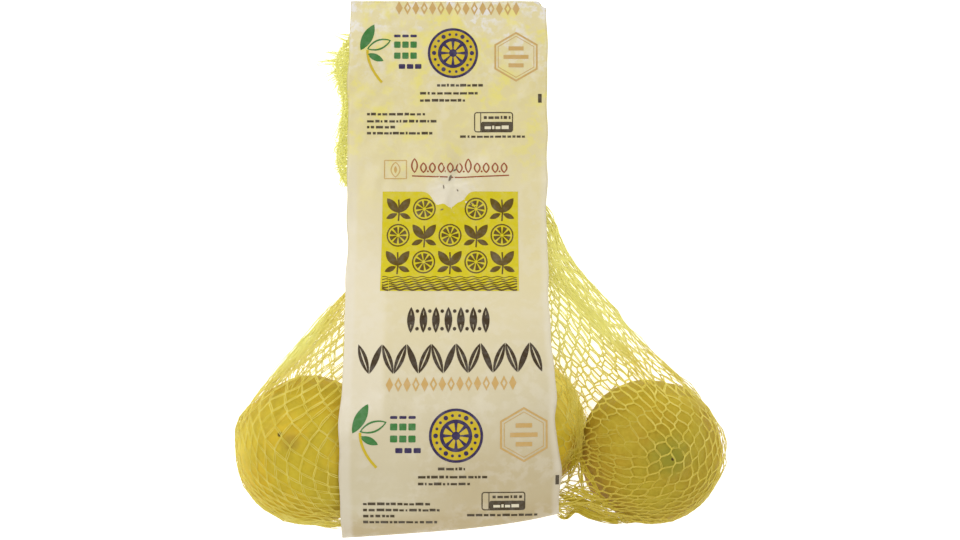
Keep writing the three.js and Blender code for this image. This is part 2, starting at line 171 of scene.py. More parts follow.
# Yarns bunched on the net: their piece, the line on plan that they follow, their spread and how many.
BUNDLES = [
    # Folds that run down from the band, on the right and on the left.
    ("top_right", ((34, -2), (52.3, -25), (66, -40.5), (80, -57)), 1.9, 20),
    ("top_right", ((30, 18), (34, 5), (40, -6), (49, -17), (58, -27)), 3.2, 12),
    ("top_right", ((31, 4), (39, -8), (49, -21), (59, -35)), 3.4, 12),
    ("top_left", ((-58.5, -13.5), (-70.5, -27.5), (-86, -46.5), (-99.5, -64.5)), 2.2, 40),
    ("top_left", ((-56, -17), (-65, -29), (-77, -46), (-84, -58)), 3.4, 24),
    # Round the left lemon's outer side and under it.
    ("top_left", ((-98, -61), (-103.5, -67.5), (-107, -73), (-108.5, -80)), 0.8, 14),
    ("top_left", ((-90, -109.5), (-82, -113), (-72, -115.3), (-60, -117)), 1.0, 18),
    # Out from the tuck over the right lemon.
    ("top_right", ((43.6, -81.5), (50, -78), (58, -75.5), (66, -74.5)), 0.4, 2),
    ("top_right", ((43.6, -82), (51, -80.5), (60, -79.5), (69, -79.5)), 0.4, 2),
    ("top_right", ((43.6, -82.5), (51, -83.2), (60, -83.6), (69, -84)), 0.4, 2),
    ("top_right", ((43.6, -83), (51, -86), (59, -88), (67, -89)), 0.4, 2),
    ("top_right", ((43.4, -83.5), (49, -89), (56, -93), (63, -95)), 0.4, 2),
    # Over the middle lemon and into the gap beside it.
    ("top_right", ((43, -80.5), (40.5, -74), (38, -68), (36, -60)), 0.5, 4),
    ("top_right", ((38, -51), (41, -60), (44, -69), (45, -77)), 3.0, 26),
    ("top_right", ((44, -81), (39.5, -75.5), (35, -69.5)), 0.45, 5),
    ("top_right", ((44, -82), (39, -83.5), (36.5, -89)), 0.45, 5),
    ("top_right", ((37.5, -66), (41, -73), (43.5, -80)), 0.45, 5),
    ("top_right", ((47.5, -67), (45.2, -74), (44, -81), (43.5, -89)), 1.5, 20),
    # Along the net's lower edge, to the right of the band.
    ("bunched", ((34, -106), (43, -107.5), (53, -112.5), (62, -113.5), (74, -114.5)), 1.5, 20),
    ("bunched", ((35, -98), (44, -101), (55, -106), (66, -111)), 1.8, 14),
    ("bunched", ((33, -102), (40, -104), (50, -107), (58, -110)), 1.6, 18),
    ("bunched", ((34, -112), (38.5, -113.2), (43, -110.3), (50, -113), (58, -115.5), (66, -115.5)), 0.6, 12),
    # Down from the tuck.
    ("bunched", ((43.5, -83), (41, -90), (37.5, -98)), 0.8, 8),
    ("bunched", ((44, -82), (42, -87), (39.5, -93)), 1.5, 8),
    ("bunched", ((44, -84), (44.5, -92), (46, -103)), 0.7, 7),
    ("bunched", ((44.5, -85), (48, -93), (54, -104)), 0.7, 7),
]

# ---- Finishes and stage ----

# Where the film's colours turn: shares of its length from the hem up, or of its width from the left.
# Painted shade over the fruit and at the hem, where the film slopes away from the light.
SHADE_OVER_FRUIT_UP, HEM_SHADE_UP, FAR_END_UP, OVER_END_UP = (0.46, 0.2), (0.055, 0.012), (0.78, 1.0), (0.55, 0.8)
# Painted shade at the film's lower right corner.
CORNER_SHADE_UP, CORNER_SHADE_ACROSS, CORNER_SHADE_SHARE = (0.24, 0.08), (0.22, 0.6), 0.65
# A painted sheen along the fold in the film.
SHEEN_FROM, SHEEN_TO, SHEEN_ACROSS, SHEEN_SHARE = (0.19, 0.26), (0.55, 0.48), (0.215, 0.18), 0.35
OVER_END_TURN, OVER_END_SHARES = (0.84, 0.96), (0.6, 0.4)
OVER_NET_UP, OVER_NET_ACROSS, OVER_NET_SHARE = (0.38, 0.5), (0.82, 0.93), 0.35
LEFT_MARGIN, RIGHT_MARGIN, MARGIN_UP, MARGIN_SHARE = (0.06, 0.035), (0.955, 0.985), (0.78, 0.62), 0.4
WHITE_SHARE, FLECK_SHARE, PALER_SHARE, RUBBED_SHARE = 0.9, 0.75, 0.24, 0.7
RUBBED_BELOW, RUBBED_SPOT = 4, (5, 16, 12)  # how far under the pucker the film is rubbed, and the spot

# Soft patches: their size in metres, and the noise levels where they start and are full.
FILM_PATCHES = ((0.016, 0.4, 0.62), (0.005, 0.42, 0.6), (0.0032, 0.46, 0.6))
RIND_PATCHES = ((0.022, 0.32, 0.7), (0.008, 0.42, 0.66), (0.0022, 0.3, 0.75))
DULL_SHARE, PALE_SHARE = 0.45, 0.22
YARN_PATCHES, INK_PATCHES, WORN_SHARE = (0.006, 0.3, 0.7), (0.003, 0.35, 0.8), 0.16
# Scales of noise, for each metre, and heights of bumps in metres.
SPOT_RIM_SCALE, BROAD_CREASE_SCALE, FINE_CREASE_SCALE = 420.0, 90.0, 260.0
FIBRE_SCALE, PORE_SCALE = 2600.0, 620.0
CREASE_BUMP, FIBRE_BUMP, PORE_BUMP = 0.0006, 0.00006, 0.00012
FILM_ROUGHNESS, RIND_ROUGHNESS = (0.34, 0.46), (0.46, 0.6)

# The floor in millimetres, the camera's place on plan in metres and its lens in millimetres.
FLOOR_HALF, FLOOR_LEVEL = 4000, -0.4
CAMERA_PLACE, CAMERA_LENS = (0.00025, -0.0033), 67.9


def linear(red, green, blue):
    """A display colour of 0 to 255 as linear light."""
    shares = np.array([red, green, blue]) / 255
    low = shares <= 0.04045
    return tuple(float(v) for v in np.where(low, shares / 12.92, ((shares + 0.055) / 1.055) ** 2.4))


# ---- Small helpers ----


def lerp(start, end, share):
    return start + (end - start) * share


def smooth(value, start, end):
    share = np.clip((value - start) / (end - start), 0, 1)
    return share * share * (3 - 2 * share)


def unit(vectors):
    length = np.linalg.norm(vectors, axis=-1, keepdims=True)
    return vectors / np.maximum(length, 1e-9)


def hump(value, height, width, centre=0.0):
    """A soft hump over a value."""
    return height * np.exp(-(((value - centre) / width) ** 2))


def along(stations, at):
    """A smooth curve through stations, flat beyond both ends."""
    places, values = np.array(stations, float).T
    k = np.arange(len(places))
    before, after = np.maximum(k - 1, 0), np.minimum(k + 1, len(places) - 1)
    slopes = (values[after] - values[before]) / (places[after] - places[before])
    at = np.clip(np.asarray(at, float), places[0], places[-1])
    k = np.clip(np.searchsorted(places, at, side="right") - 1, 0, len(places) - 2)
    span = places[k + 1] - places[k]
    t = (at - places[k]) / span
    bend = span * t * (1 - t) * ((1 - t) * slopes[k] - t * slopes[k + 1])
    return lerp(values[k], values[k + 1], t * t * (3 - 2 * t)) + bend


def wander(points, wavelength, seed, terms=7):
    """Smooth offsets of about unit size in three directions."""
    rng = np.random.default_rng(seed)
    ways = unit(rng.normal(size=(terms, 3, 3)))
    waves = 2 * np.pi / (wavelength * rng.uniform(0.6, 1.5, (terms, 3)))
    phases = rng.uniform(0, 2 * np.pi, (terms, 3))
    value = np.einsum("...k,tck->...tc", points, ways) * waves + phases
    return np.sin(value).sum(axis=-2) * np.sqrt(2 / terms)


# ---- The film's surface ----


def film_right(y):
    return lerp(FILM_RIGHT_TOP, FILM_RIGHT_BOTTOM, smooth(y, -10, -90))


def film_bottom(x):
    share = np.clip((x - FILM_LEFT) / (FILM_RIGHT_BOTTOM - FILM_LEFT), 0, 1)
    return FILM_BOTTOM_LEFT + FILM_BOTTOM_RISE * (0.6 * share + 0.4 * share**3)


def film_height(x, y):
    folding = smooth(y, *FOLD_ABOVE) * smooth(y, *FOLD_BELOW)
    folded = FOLD_SLOPE * np.maximum(0, FOLD_X - x) * folding
    drooped = DROOP_RATE * np.maximum(0, x - DROOP_X) ** 2 * smooth(y, DROOP_ABOVE, DROOP_FULL)
    dx, dy = x - PUCKER_X, y - PUCKER_Y
    far = np.hypot(dx, dy) / PUCKER_REACH
    pucker = PUCKER_HEIGHT * far * np.exp(1 - far**2) * np.cos(PUCKER_FOLDS * np.arctan2(dy, dx))
    ripple = np.sin(x / RIPPLE_ACROSS + 2) * np.sin(y / RIPPLE_ALONG + x / RIPPLE_SKEW)
    return along(FILM_RISE, y) - folded - drooped + pucker + RIPPLE_HEIGHT * ripple


def edge_curl(inside, y, warp, height, length, start, stray, reach):
    """How the film curls up and down along an edge."""
    return height * np.sin(y / length + start + stray * warp) * np.exp(-inside / reach)


def film_middle(x, y):
    """The film sheet with its fine creases."""
    dx, dy = x - PUCKER_X, y - PUCKER_Y
    far = np.hypot(dx, dy) / FINE_PUCKER_REACH
    rays = np.abs(np.sin(FINE_PUCKER_FOLDS * np.arctan2(dy, dx) + 0.9 * np.sin(far * 2.3))) - 0.6
    gathered = FINE_PUCKER_HEIGHT * rays * far * np.exp(1 - far**2)
    warp = wander(np.stack([x, y, np.zeros_like(x)], -1), CREASE_WANDER, 11)
    creases = CREASE_HEIGHT + sum(more * smooth(y, *span) for more, span in CREASE_HIGHER)
    for k, (across, down, stray) in enumerate(CREASE_WAVES):
        creases = creases * np.sin(x / across + y / down + stray * warp[..., k])
    left = edge_curl(x - FILM_LEFT, y, warp[..., 2], *CURL_LEFT)
    right = edge_curl(film_right(y) - x, y, warp[..., 0], *CURL_RIGHT)
    return film_height(x, y) - FILM_SINK + gathered + creases + left + right


# ---- The lemons ----


class Lemon:
    def __init__(self, centre, tip, girth, length, nipple, bulges=()):
        self.axis = unit(np.array(tip, float))
        self.bulges = [(unit(np.array(way, float)), far, wide) for way, far, wide in bulges]
        self.round, self.half, self.nipple = girth / 2, length / 2, nipple
        height = TWINE + np.hypot(self.half * self.axis[2], self.round * np.sqrt(1 - self.axis[2] ** 2))
        self.at = np.array([*centre, height])

    def rind(self, angle):
        """Distance from the centre to the rind at an angle from the tip."""
        body = self.half * self.round / np.hypot(self.round * np.cos(angle), self.half * np.sin(angle))
        return body + hump(angle, self.nipple, NIPPLE_ANGLE) + hump(np.pi - angle, NECK_HEIGHT, NECK_ANGLE)

    def bulge(self, ways):
        """How far the rind stands out each way from the centre."""
        turns = [np.arccos(np.clip(ways @ way, -1, 1)) for way, _, _ in self.bulges]
        return sum(hump(turn, far, wide) for turn, (_, far, wide) in zip(turns, self.bulges))

    def gap(self, points):
        """How far points are off the rind, with the way out and the distance to the centre."""
        off = points - self.at
        distance = np.linalg.norm(off, axis=-1)
        ways = off / np.maximum(distance, 1e-9)[..., None]
        angle = np.arccos(np.clip(ways @ self.axis, -1, 1))
        return distance - self.rind(angle) - self.bulge(ways), off, distance


LEMON_FORMS = {
    name: Lemon(*sizes, BULGES.get(name, ())) for name, sizes in {**LEMONS, **SETTLED}.items()
}


def push_out(points, gap):
    """Moves points out of every lemon, to a gap off its rind, and says which moved."""
    touched = np.zeros(points.shape[:-1], bool)
    for lemon in LEMON_FORMS.values():
        free, off, distance = lemon.gap(points)
        inside = free < gap
        grown = lemon.at + off * ((distance + gap - free) / distance)[..., None]
        points = np.where(inside[..., None], grown, points)
        touched |= inside
    return points, touched


def push_off_shoulders(points):
    for centre, radius in STAND_OFF:
        off = points - np.array(centre, float)
        distance = np.linalg.norm(off, axis=-1)
        out = np.array(centre) + off * (radius / distance)[..., None]
        points = np.where((distance < radius)[..., None], out, points)
    return points


def ceiling(x, y):
    hem = HEM_CLEARANCE * smooth(y, HEM_ABOVE, HEM_BELOW)
    return film_height(x, y) - FILM_THICKNESS - FILM_CLEARANCE - hem


def keep_between(points, lowest=0.0):
    """Keeps points above the ground and under the film, or a slope beside it."""
    x = np.clip(points[..., 0], FILM_LEFT, film_right(points[..., 1]))
    y = np.maximum(points[..., 1], film_bottom(x))
    beside = np.hypot(points[..., 0] - x, points[..., 1] - y)
    points[..., 2] = np.clip(points[..., 2], lowest, ceiling(x, y) + EDGE_RISE * beside)
    return points


# ---- The net: rows of knots round a tube, each row half a mesh round from the last ----


def across_loop(share):
    return 1 - np.abs(2 * share - 1)


def up_loop(share):
    return np.sin(2 * np.pi * share)


def up_flat_loop(share):
    return np.sign(up_loop(share)) * np.sqrt(np.abs(up_loop(share)))


def seam_knots(share):
    x = lerp(SEAM_LEFT, SEAM_RIGHT, across_loop(share))
    y = film_bottom(x) + SEAM_INSET
    middle = ceiling(x, y) - SEAM_HALF_THICKNESS
    return np.stack([x, y, middle + SEAM_HALF_THICKNESS * up_flat_loop(share)], -1)


def roomy_knots(row, share):
    t = row / FRUIT_ROWS
    x = along(ROOMY_MIDDLE_X, t) - along(ROOMY_HALF_WIDTH, t) * np.cos(2 * np.pi * share)
    z = along(ROOMY_LOW, t) + along(ROOMY_HALF_HEIGHT, t) * (1 + up_loop(share))
    return np.stack([x, np.full_like(x, along(ROOMY_Y, t)), z], -1)


def tail_knots(row, share):
    t = (row - FRUIT_ROWS) / TAIL_ROWS
    across, up = across_loop(share), up_flat_loop(share)
    y = lerp(along(TAIL_NEAR_Y, t), along(TAIL_FAR_Y, t), across)
    straight = lerp(along(TAIL_NEAR_X, t), along(TAIL_FAR_X, t), across)
    x = lerp(straight, along(FRINGE, y), smooth(t, 0.6, 1))
    lumps = np.sin(x / TAIL_LUMP_WIDTH + 1.3) * np.sin(y / TAIL_LUMP_LENGTH) * smooth(t, 0, 0.3)
    full = lerp(GATHER_HIGH, TAIL_THICKNESS, smooth(t, 0, 0.4))
    middle = full / 2 + GATHER_LOW * (1 - t)
    z = middle + up * (full / 2 + TAIL_LUMP * lumps * np.maximum(up, 0))
    return keep_between(np.stack([x, y, z], -1))


def drawn_tight(rows):
    """Draws the roomy bag tight over the fruit, row by row."""
    pinch = np.array(PINCH_AT, float)
    shares = [(np.arange(MESHES_ROUND) + (row % 2) / 2) / MESHES_ROUND for row in range(FRUIT_ROWS + 1)]
    pulls = [lerp(PULL_ALONG_LEFT, PULL_ALONG_RIGHT, across_loop(share))[:, None] for share in shares]
    for _ in range(DRAWING_STEPS):
        for row in range(1, FRUIT_ROWS):
            knots, below, above = rows[row], rows[row - 1], rows[row + 1]
            turn = -1 if row % 2 else 1
            tied = [below, np.roll(below, turn, axis=0), above, np.roll(above, turn, axis=0)]
            if row % 2 == 0:
                tied = [tied[1], tied[0], tied[3], tied[2]]
            mean = (tied[0] + tied[1] + tied[2] + tied[3]) * 0.25
            if 1 < row < FRUIT_ROWS - 1:
                mean = (mean + pulls[row] * (rows[row - 2] + rows[row + 2])) / (1 + 2 * pulls[row])
            before = knots
            knots = lerp(knots, mean, PULL)
            knots[:, 2] -= SAG
            near = np.hypot(knots[:, 0] - pinch[0], knots[:, 1] - pinch[1])
            share = np.where(shares[row] < 0.5, hump(near, PINCH_PULL, PINCH_REACH), 0)
            knots = lerp(knots, pinch, share[:, None])
            for other in tied:
                strand = other - knots
                length = np.linalg.norm(strand, axis=1)
                excess = np.maximum(0, length - LONGEST_STRAND)
                knots = knots + strand * (0.5 * excess / length)[:, None]
            knots, touched = push_out(knots, TWINE)
            slid, _ = push_out(lerp(knots, before, 1 - SLIP), TWINE)
            knots = np.where(touched[:, None], slid, knots)
            rows[row] = keep_between(push_off_shoulders(knots))
    return np.array(rows)


def cubic(p, t):
    """Catmull-Rom between the middle two of four arrays."""
    t = t[..., None]
    rise = (p[2] - p[0]) * 0.5
    return (
        p[1] + t * (rise + t * (p[0] - 2.5 * p[1] + 2 * p[2] - 0.5 * p[3]
        + t * (1.5 * (p[1] - p[2]) + 0.5 * (p[3] - p[0]))))
    )


def point_on_net(rows, at_row, share):
    """A place on the drawn net, at a fractional row and a share of the way round."""
    last = len(rows) - 1

    def in_row(row):
        place = share * MESHES_ROUND - (row % 2) / 2
        left = np.floor(place).astype(int)
        near = [rows[row, (left + k) % MESHES_ROUND] for k in (-1, 0, 1, 2)]
        return cubic(near, place - left)

    low = np.minimum(np.floor(at_row).astype(int), last - 1)
    return cubic([in_row(np.clip(low + k, 0, last)) for k in (-1, 0, 1, 2)], at_row - low)


def even_rows(rows, share):
    """Rows of the drawn net at even steps along its twine, closer on the front of the right lemon."""
    at = np.linspace(0, FRUIT_ROWS, 3 * FRUIT_ROWS + 1)
    shares = np.arange(2 * NET_COLUMNS) / (2 * NET_COLUMNS)
    line = point_on_net(rows, at[:, None] + 0 * shares, shares + 0 * at[:, None])
    x, y, z = line[:-1, :, 0], line[:-1, :, 1], line[:-1, :, 2]
    front = smooth(x, 32, 52) * smooth(y, -45, -60) * smooth(z, 20, 36)
    steps = np.linalg.norm(np.diff(line, axis=0), axis=2) * (1 + CLOSER_ON_RIGHT * front)
    covered = np.concatenate([np.zeros((1, len(shares))), np.cumsum(steps, axis=0)])
    wanted = np.linspace(0, 1, NET_FRUIT_ROWS + 1)
    table = np.stack([np.interp(wanted, length / length[-1], at) for length in covered.T], 1)
    row = np.minimum(np.arange(len(share)), NET_FRUIT_ROWS)[:, None]
    return table[row, np.round(share * 2 * NET_COLUMNS).astype(int) % (2 * NET_COLUMNS)]


def close_to_rind(points):
    """Draws the knots that lie on the fruit in until their yarn touches the rind."""
    for lemon in LEMON_FORMS.values():
        free, off, distance = lemon.gap(points)
        wanted = free - (TWINE - YARN_GAP) * (1 - smooth(free, TWINE + 0.1, 3.2))
        points = lemon.at + off * ((distance + wanted - free) / distance)[..., None]
    return push_out(points, YARN_GAP)[0]


def pull_to_fold(knots, line, outside, inside):
    """Pulls knots towards a line on plan, all the way along it."""
    start, end = np.array(line)
    length = np.linalg.norm(end - start)
    ahead = (end - start) / length
    across = np.array([-ahead[1], ahead[0]])
    off = (knots[..., :2] - start) @ across
    place = (knots[..., :2] - start) @ ahead / length
    free = smooth(place, -0.15, 0.05) * smooth(place, 1.2, 0.95)
    reach, pull = (np.where(off > 0, *sides) for sides in zip(outside, inside))
    share = hump(off, pull, reach) * free
    knots[..., :2] -= (off * share)[..., None] * across


def draw_together(knots):
    """Bunches the net at the tuck and along its folds, and lets its lower edge hang in scallops."""
    off = np.array(TUCK) - knots
    far = np.hypot(off[..., 0], off[..., 1])
    share = hump(far, TUCK_PULL, TUCK_REACH) * smooth(knots[..., 2], 12, 28)
    knots = knots + off * share[..., None] * (1, 1, 0.6)

    for fold in FOLDS:
        pull_to_fold(knots, *fold)

    x, y, z = np.moveaxis(knots, -1, 0)
    knots[..., 0] -= hump(y, NECK_PULL, NECK_REACH, NECK_Y) * smooth(x, 30, 40)
    hanging = smooth(y, -98, -108) * smooth(z, 50, 44) * smooth(x, 34, 38)
    knots[..., 1] += along(SCALLOPS, x) * hanging
    knots[..., 0] += along(FRINGE_DRAWN_IN, y) * smooth(x, -50, -58) * smooth(y, 33, 36)
    return knots


def by_looseness(values, slack, loose):
    """A value between those for a tight, a slack and a loose net."""
    tight, slacker, loosest = values
    return lerp(lerp(tight, slacker, slack), loosest, loose)


@lru_cache
def net_knots():
    """Knots of the real mesh size, as an array of rows."""
    rows = []
    for row in range(FRUIT_ROWS + TAIL_ROWS + 1):
        share = (np.arange(MESHES_ROUND) + (row % 2) / 2) / MESHES_ROUND
        if row == 0:
            rows.append(seam_knots(share))
        elif row < FRUIT_ROWS:
            rows.append(roomy_knots(row, share))
        else:
            rows.append(tail_knots(row, share))
    rows = drawn_tight(rows)

    row = np.arange(NET_FRUIT_ROWS + NET_TAIL_ROWS + 1)[:, None]
    column = np.arange(NET_COLUMNS)[None, :]
    share = (column + (row % 2) / 2) / NET_COLUMNS
    in_tail = FRUIT_ROWS + (row - NET_FRUIT_ROWS) * TAIL_ROWS / NET_TAIL_ROWS
    places = np.where(row < NET_FRUIT_ROWS, even_rows(rows, share), in_tail)
    knots = point_on_net(rows, places, share)

    rng = np.random.default_rng(5)
    loose = smooth(row, NET_FRUIT_ROWS - 4, NET_FRUIT_ROWS + 3)[..., None]
    slack = smooth(knots[..., :1], -10, 60)
    jitter = rng.normal(size=knots.shape) * by_looseness(JITTER, slack, loose)
    jitter[..., 2] *= 0.6
    drift = wander(knots, DRIFT_LENGTH, 6) * by_looseness(DRIFT, slack, loose)
    drift[..., 2] *= lerp(1, 0.35, loose[..., 0])
    calm = smooth(np.minimum(row, NET_FRUIT_ROWS + NET_TAIL_ROWS - row), -0.5, 4)[..., None]
    knots = close_to_rind(draw_together(knots + (jitter + drift) * calm))
    return keep_between(knots, LOWEST_YARN)


def neighbours(row):
    """Shifts that bring a knot's left and right partners in the rows beside it to its own column."""
    return (0, -1) if row % 2 else (1, 0)


def net_frames(knots):
    """For each knot, the way along the net and the way out of it."""
    last = len(knots) - 1
    ahead, out = np.empty_like(knots), np.empty_like(knots)
    for row in range(last + 1):
        left, right = neighbours(row)
        above, below = knots[min(row + 1, last)], knots[max(row - 1, 0)]
        up_left, up_right = np.roll(above, left, axis=0), np.roll(above, right, axis=0)
        down_left, down_right = np.roll(below, left, axis=0), np.roll(below, right, axis=0)
        if row == last:
            up_left = up_right = knots[row]
        if row == 0:
            down_left = down_right = knots[row]
        ahead[row] = up_left + up_right - down_left - down_right
        over = np.roll(knots[row], -1, axis=0) - np.roll(knots[row], 1, axis=0)
        out[row] = np.cross(over, ahead[row])
    return unit(ahead), unit(out)


# ---- Mesh building ----


def add_mesh(name, points, faces, materials, uv=None):
    """A mesh object from points in millimetres and arrays of faces, each with its own corner count."""
    groups = [group for group in (faces if isinstance(faces, list) else [faces]) if len(group)]
    corners = np.concatenate([group.ravel() for group in groups]).astype(np.int32)
    sizes = np.concatenate([np.full(len(group), group.shape[1]) for group in groups])
    starts = np.concatenate([[0], np.cumsum(sizes)[:-1]]).astype(np.int32)
    mesh = bpy.data.meshes.new(name)
    mesh.vertices.add(len(points))
    mesh.vertices.foreach_set("co", (np.asarray(points) * MM).astype(np.float32).ravel())
    mesh.loops.add(len(corners))
    mesh.loops.foreach_set("vertex_index", corners)
    mesh.polygons.add(len(sizes))
    mesh.polygons.foreach_set("loop_start", starts)
    mesh.update(calc_edges=True)
    mesh.polygons.foreach_set("use_smooth", np.ones(len(sizes), bool))
    if uv is not None:
        layer = mesh.uv_layers.new(name="UVMap")
        layer.data.foreach_set("uv", uv[corners].astype(np.float32).ravel())
    mesh.validate()
    for material in materials:
        mesh.materials.append(material)
    piece = bpy.data.objects.new(name, mesh)
    bpy.context.scene.collection.objects.link(piece)
    return piece


def dress(piece, slot, *nodes):
    """Makes a piece ride with the body and hides the CAD parts that it stands for."""
    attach(piece, "root")
    if nodes:
        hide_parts(*nodes)


class Shell:
    """Gathers points and faces of many small parts into one mesh."""

    def __init__(self):
        self.points, self.faces, self.count = [], {}, 0

    def add(self, points, *faces):
        self.points.append(points)
        for group in faces:
            self.faces.setdefault(group.shape[1], []).append(group + self.count)
        self.count += len(points)

    def piece(self, name, materials):
        faces = [np.concatenate(groups) for groups in self.faces.values()]
        return add_mesh(name, np.concatenate(self.points), faces, materials)


def ring_quads(index):
    """Quads between rings of points. index holds rings by points round."""
    start, end = index[..., :-1, :], index[..., 1:, :]
    corners = [start, end, np.roll(end, -1, axis=-1), np.roll(start, -1, axis=-1)]
    return np.stack(corners, -1).reshape(-1, 4)


def tubes(paths, outs, half_width, half_height, capped=True):
    """Points and faces of many tubes at once. paths and outs are tubes by stations by 3."""
    ahead = unit(np.gradient(paths, axis=1))
    side = unit(np.cross(ahead, outs))
    up = np.cross(side, ahead)
    turn = 2 * np.pi * np.arange(YARN_SIDES) / YARN_SIDES
    wide = np.broadcast_to(half_width, paths.shape[:2])[:, :, None, None]
    high = np.broadcast_to(half_height, paths.shape[:2])[:, :, None, None]
    ring = wide * np.cos(turn)[:, None] * side[:, :, None] + high * np.sin(turn)[:, None] * up[:, :, None]
    points = (paths[:, :, None] + ring).reshape(-1, 3)
    index = np.arange(len(points)).reshape(*paths.shape[:2], YARN_SIDES)
    if not capped:
        return points, ring_quads(index)
    return points, ring_quads(index), np.concatenate([index[:, 0], index[:, -1, ::-1]])


def lying_tubes(paths, half_width):
    """Capped round yarns that lie flat."""
    return tubes(paths, np.broadcast_to((0.0, 0.0, 1.0), paths.shape), half_width, half_width)


def strand_paths(starts, ends, ways_start, ways_end, curl, segments):
    """Curves from start to end that leave and arrive along given ways as far as curl says."""
    t = np.linspace(0, 1, segments + 1)[None, :, None]
    chord = ends - starts
    length = np.linalg.norm(chord, axis=1)[:, None]
    go = (unit(lerp(chord / length, ways_start, curl[:, None])) * length)[:, None]
    come = (unit(lerp(chord / length, ways_end, curl[:, None])) * length)[:, None]
    return (
        (2 * t**3 - 3 * t**2 + 1) * starts[:, None] + (t**3 - 2 * t**2 + t) * go
        + (3 * t**2 - 2 * t**3) * ends[:, None] + (t**3 - t**2) * come
    )


# ---- Shader helpers ----


def feed(tree, node, inputs):
    """Gives a node's inputs their values and links."""
    for name, value in inputs.items():
        if isinstance(value, bpy.types.NodeSocket):
            tree.links.new(value, node.inputs[name])
        else:
            node.inputs[name].default_value = value


def add_node(tree, kind, inputs=None, **settings):
    made = tree.nodes.new(kind)
    for name, value in settings.items():
        setattr(made, name, value)
    feed(tree, made, inputs or {})
    return made


def opaque(color):
    return (*tuple(color)[:3], 1)


def mixed(tree, share, first, second):
    """The colour socket of a mix of two colours."""
    inputs = {0: share}
    for index, value in ((6, first), (7, second)):
        inputs[index] = value if isinstance(value, bpy.types.NodeSocket) else opaque(value)
    return add_node(tree, "ShaderNodeMix", inputs, data_type="RGBA").outputs[2]


def math_node(tree, operation, first, second=0.0):
    return add_node(tree, "ShaderNodeMath", {0: first, 1: second}, operation=operation).outputs[0]


def vector_math(tree, operation, inputs):
    return add_node(tree, "ShaderNodeVectorMath", inputs, operation=operation).outputs


def product(tree, first, *others):
    """The product of masks and shares."""
    for other in others:
        first = math_node(tree, "MULTIPLY", first, other)
    return first


def remapped(tree, value, low, high, to_low=0.0, to_high=1.0):
    inputs = {"Value": value, "From Min": low, "From Max": high, "To Min": to_low, "To Max": to_high}
    return add_node(tree, "ShaderNodeMapRange", inputs, interpolation_type="SMOOTHSTEP").outputs[0]


def noise(tree, place, scale, detail, **more):
    inputs = {"Vector": place, "Scale": scale, "Detail": detail, **more}
    return add_node(tree, "ShaderNodeTexNoise", inputs).outputs


def shader_group(name, sockets_in, sockets_out, build):
    """A shader node group, built once. Sockets are (name, kind, default)."""
    if name in bpy.data.node_groups:
        return bpy.data.node_groups[name]
    group = bpy.data.node_groups.new(name, "ShaderNodeTree")
    for label, kind, default in sockets_in:
        socket = group.interface.new_socket(label, in_out="INPUT", socket_type=kind)
        if default is not None:
            socket.default_value = default
    for label, kind in sockets_out:
        group.interface.new_socket(label, in_out="OUTPUT", socket_type=kind)
    taken = group.nodes.new("NodeGroupInput").outputs
    given = group.nodes.new("NodeGroupOutput").inputs
    for label, value in build(group, taken).items():
        group.links.new(value, given[label])
    return group


def use_group(tree, group, inputs):
    return add_node(tree, "ShaderNodeGroup", inputs, node_tree=group).outputs


def patches_group():
    """Soft patches between 0 and 1, of a given size in metres."""

    def build(tree, taken):
        density = math_node(tree, "DIVIDE", 1.0, taken["Size"])
        level = noise(tree, taken["Vector"], density, 3.0, Roughness=0.55)["Fac"]
        return {"Mask": remapped(tree, level, taken["From"], taken["To"])}

    return shader_group(
        "Soft patches",
        [("Vector", "NodeSocketVector", None), ("Size", "NodeSocketFloat", 0.01),
         ("From", "NodeSocketFloat", 0.35), ("To", "NodeSocketFloat", 0.65)],
        [("Mask", "NodeSocketFloat")],
        build,
    )


def spot_group():
    """A soft spot with an uneven rim round a point."""

    def build(tree, taken):
        stray = noise(tree, taken["Vector"], SPOT_RIM_SCALE, 2.0)["Color"]
        centred = vector_math(tree, "SUBTRACT", {0: stray, 1: (0.5, 0.5, 0.5)})[0]
        scaled = vector_math(tree, "SCALE", {0: centred, "Scale": taken["Unevenness"]})[0]
        moved = vector_math(tree, "ADD", {0: taken["Vector"], 1: scaled})[0]
        far = vector_math(tree, "DISTANCE", {0: moved, 1: taken["Centre"]})["Value"]
        return {"Mask": remapped(tree, far, taken["Outer"], taken["Inner"])}

    return shader_group(
        "Uneven spot",
        [("Vector", "NodeSocketVector", None), ("Centre", "NodeSocketVector", None),
         ("Inner", "NodeSocketFloat", 0.001), ("Outer", "NodeSocketFloat", 0.003),
         ("Unevenness", "NodeSocketFloat", 0.002)],
        [("Mask", "NodeSocketFloat")],
        build,
    )


def crumple_group():
    """Fine creases of thin film, as a height."""

    def build(tree, taken):
        broad = noise(tree, taken["Vector"], BROAD_CREASE_SCALE, 2.0, Distortion=0.8)["Fac"]
        fine = noise(tree, taken["Vector"], FINE_CREASE_SCALE, 2.0, Distortion=0.4)["Fac"]
        ridge = math_node(tree, "ABSOLUTE", math_node(tree, "SUBTRACT", broad, 0.5))
        return {"Height": math_node(tree, "SUBTRACT", product(tree, fine, 0.25), ridge)}

    return shader_group(
        "Film creases", [("Vector", "NodeSocketVector", None)], [("Height", "NodeSocketFloat")], build
    )


def patches(tree, place, size, low, high):
    """A mask of soft patches."""
    inputs = {"Vector": place, "Size": size, "From": low, "To": high}
    return use_group(tree, patches_group(), inputs)["Mask"]


def spot(tree, place, centre, inner, outer, unevenness):
    """A mask of a soft spot, from sizes in millimetres."""
    inputs = {
        "Vector": place, "Centre": tuple(np.array(centre) * MM),
        "Inner": inner * MM, "Outer": outer * MM, "Unevenness": unevenness * MM,
    }
    return use_group(tree, spot_group(), inputs)["Mask"]


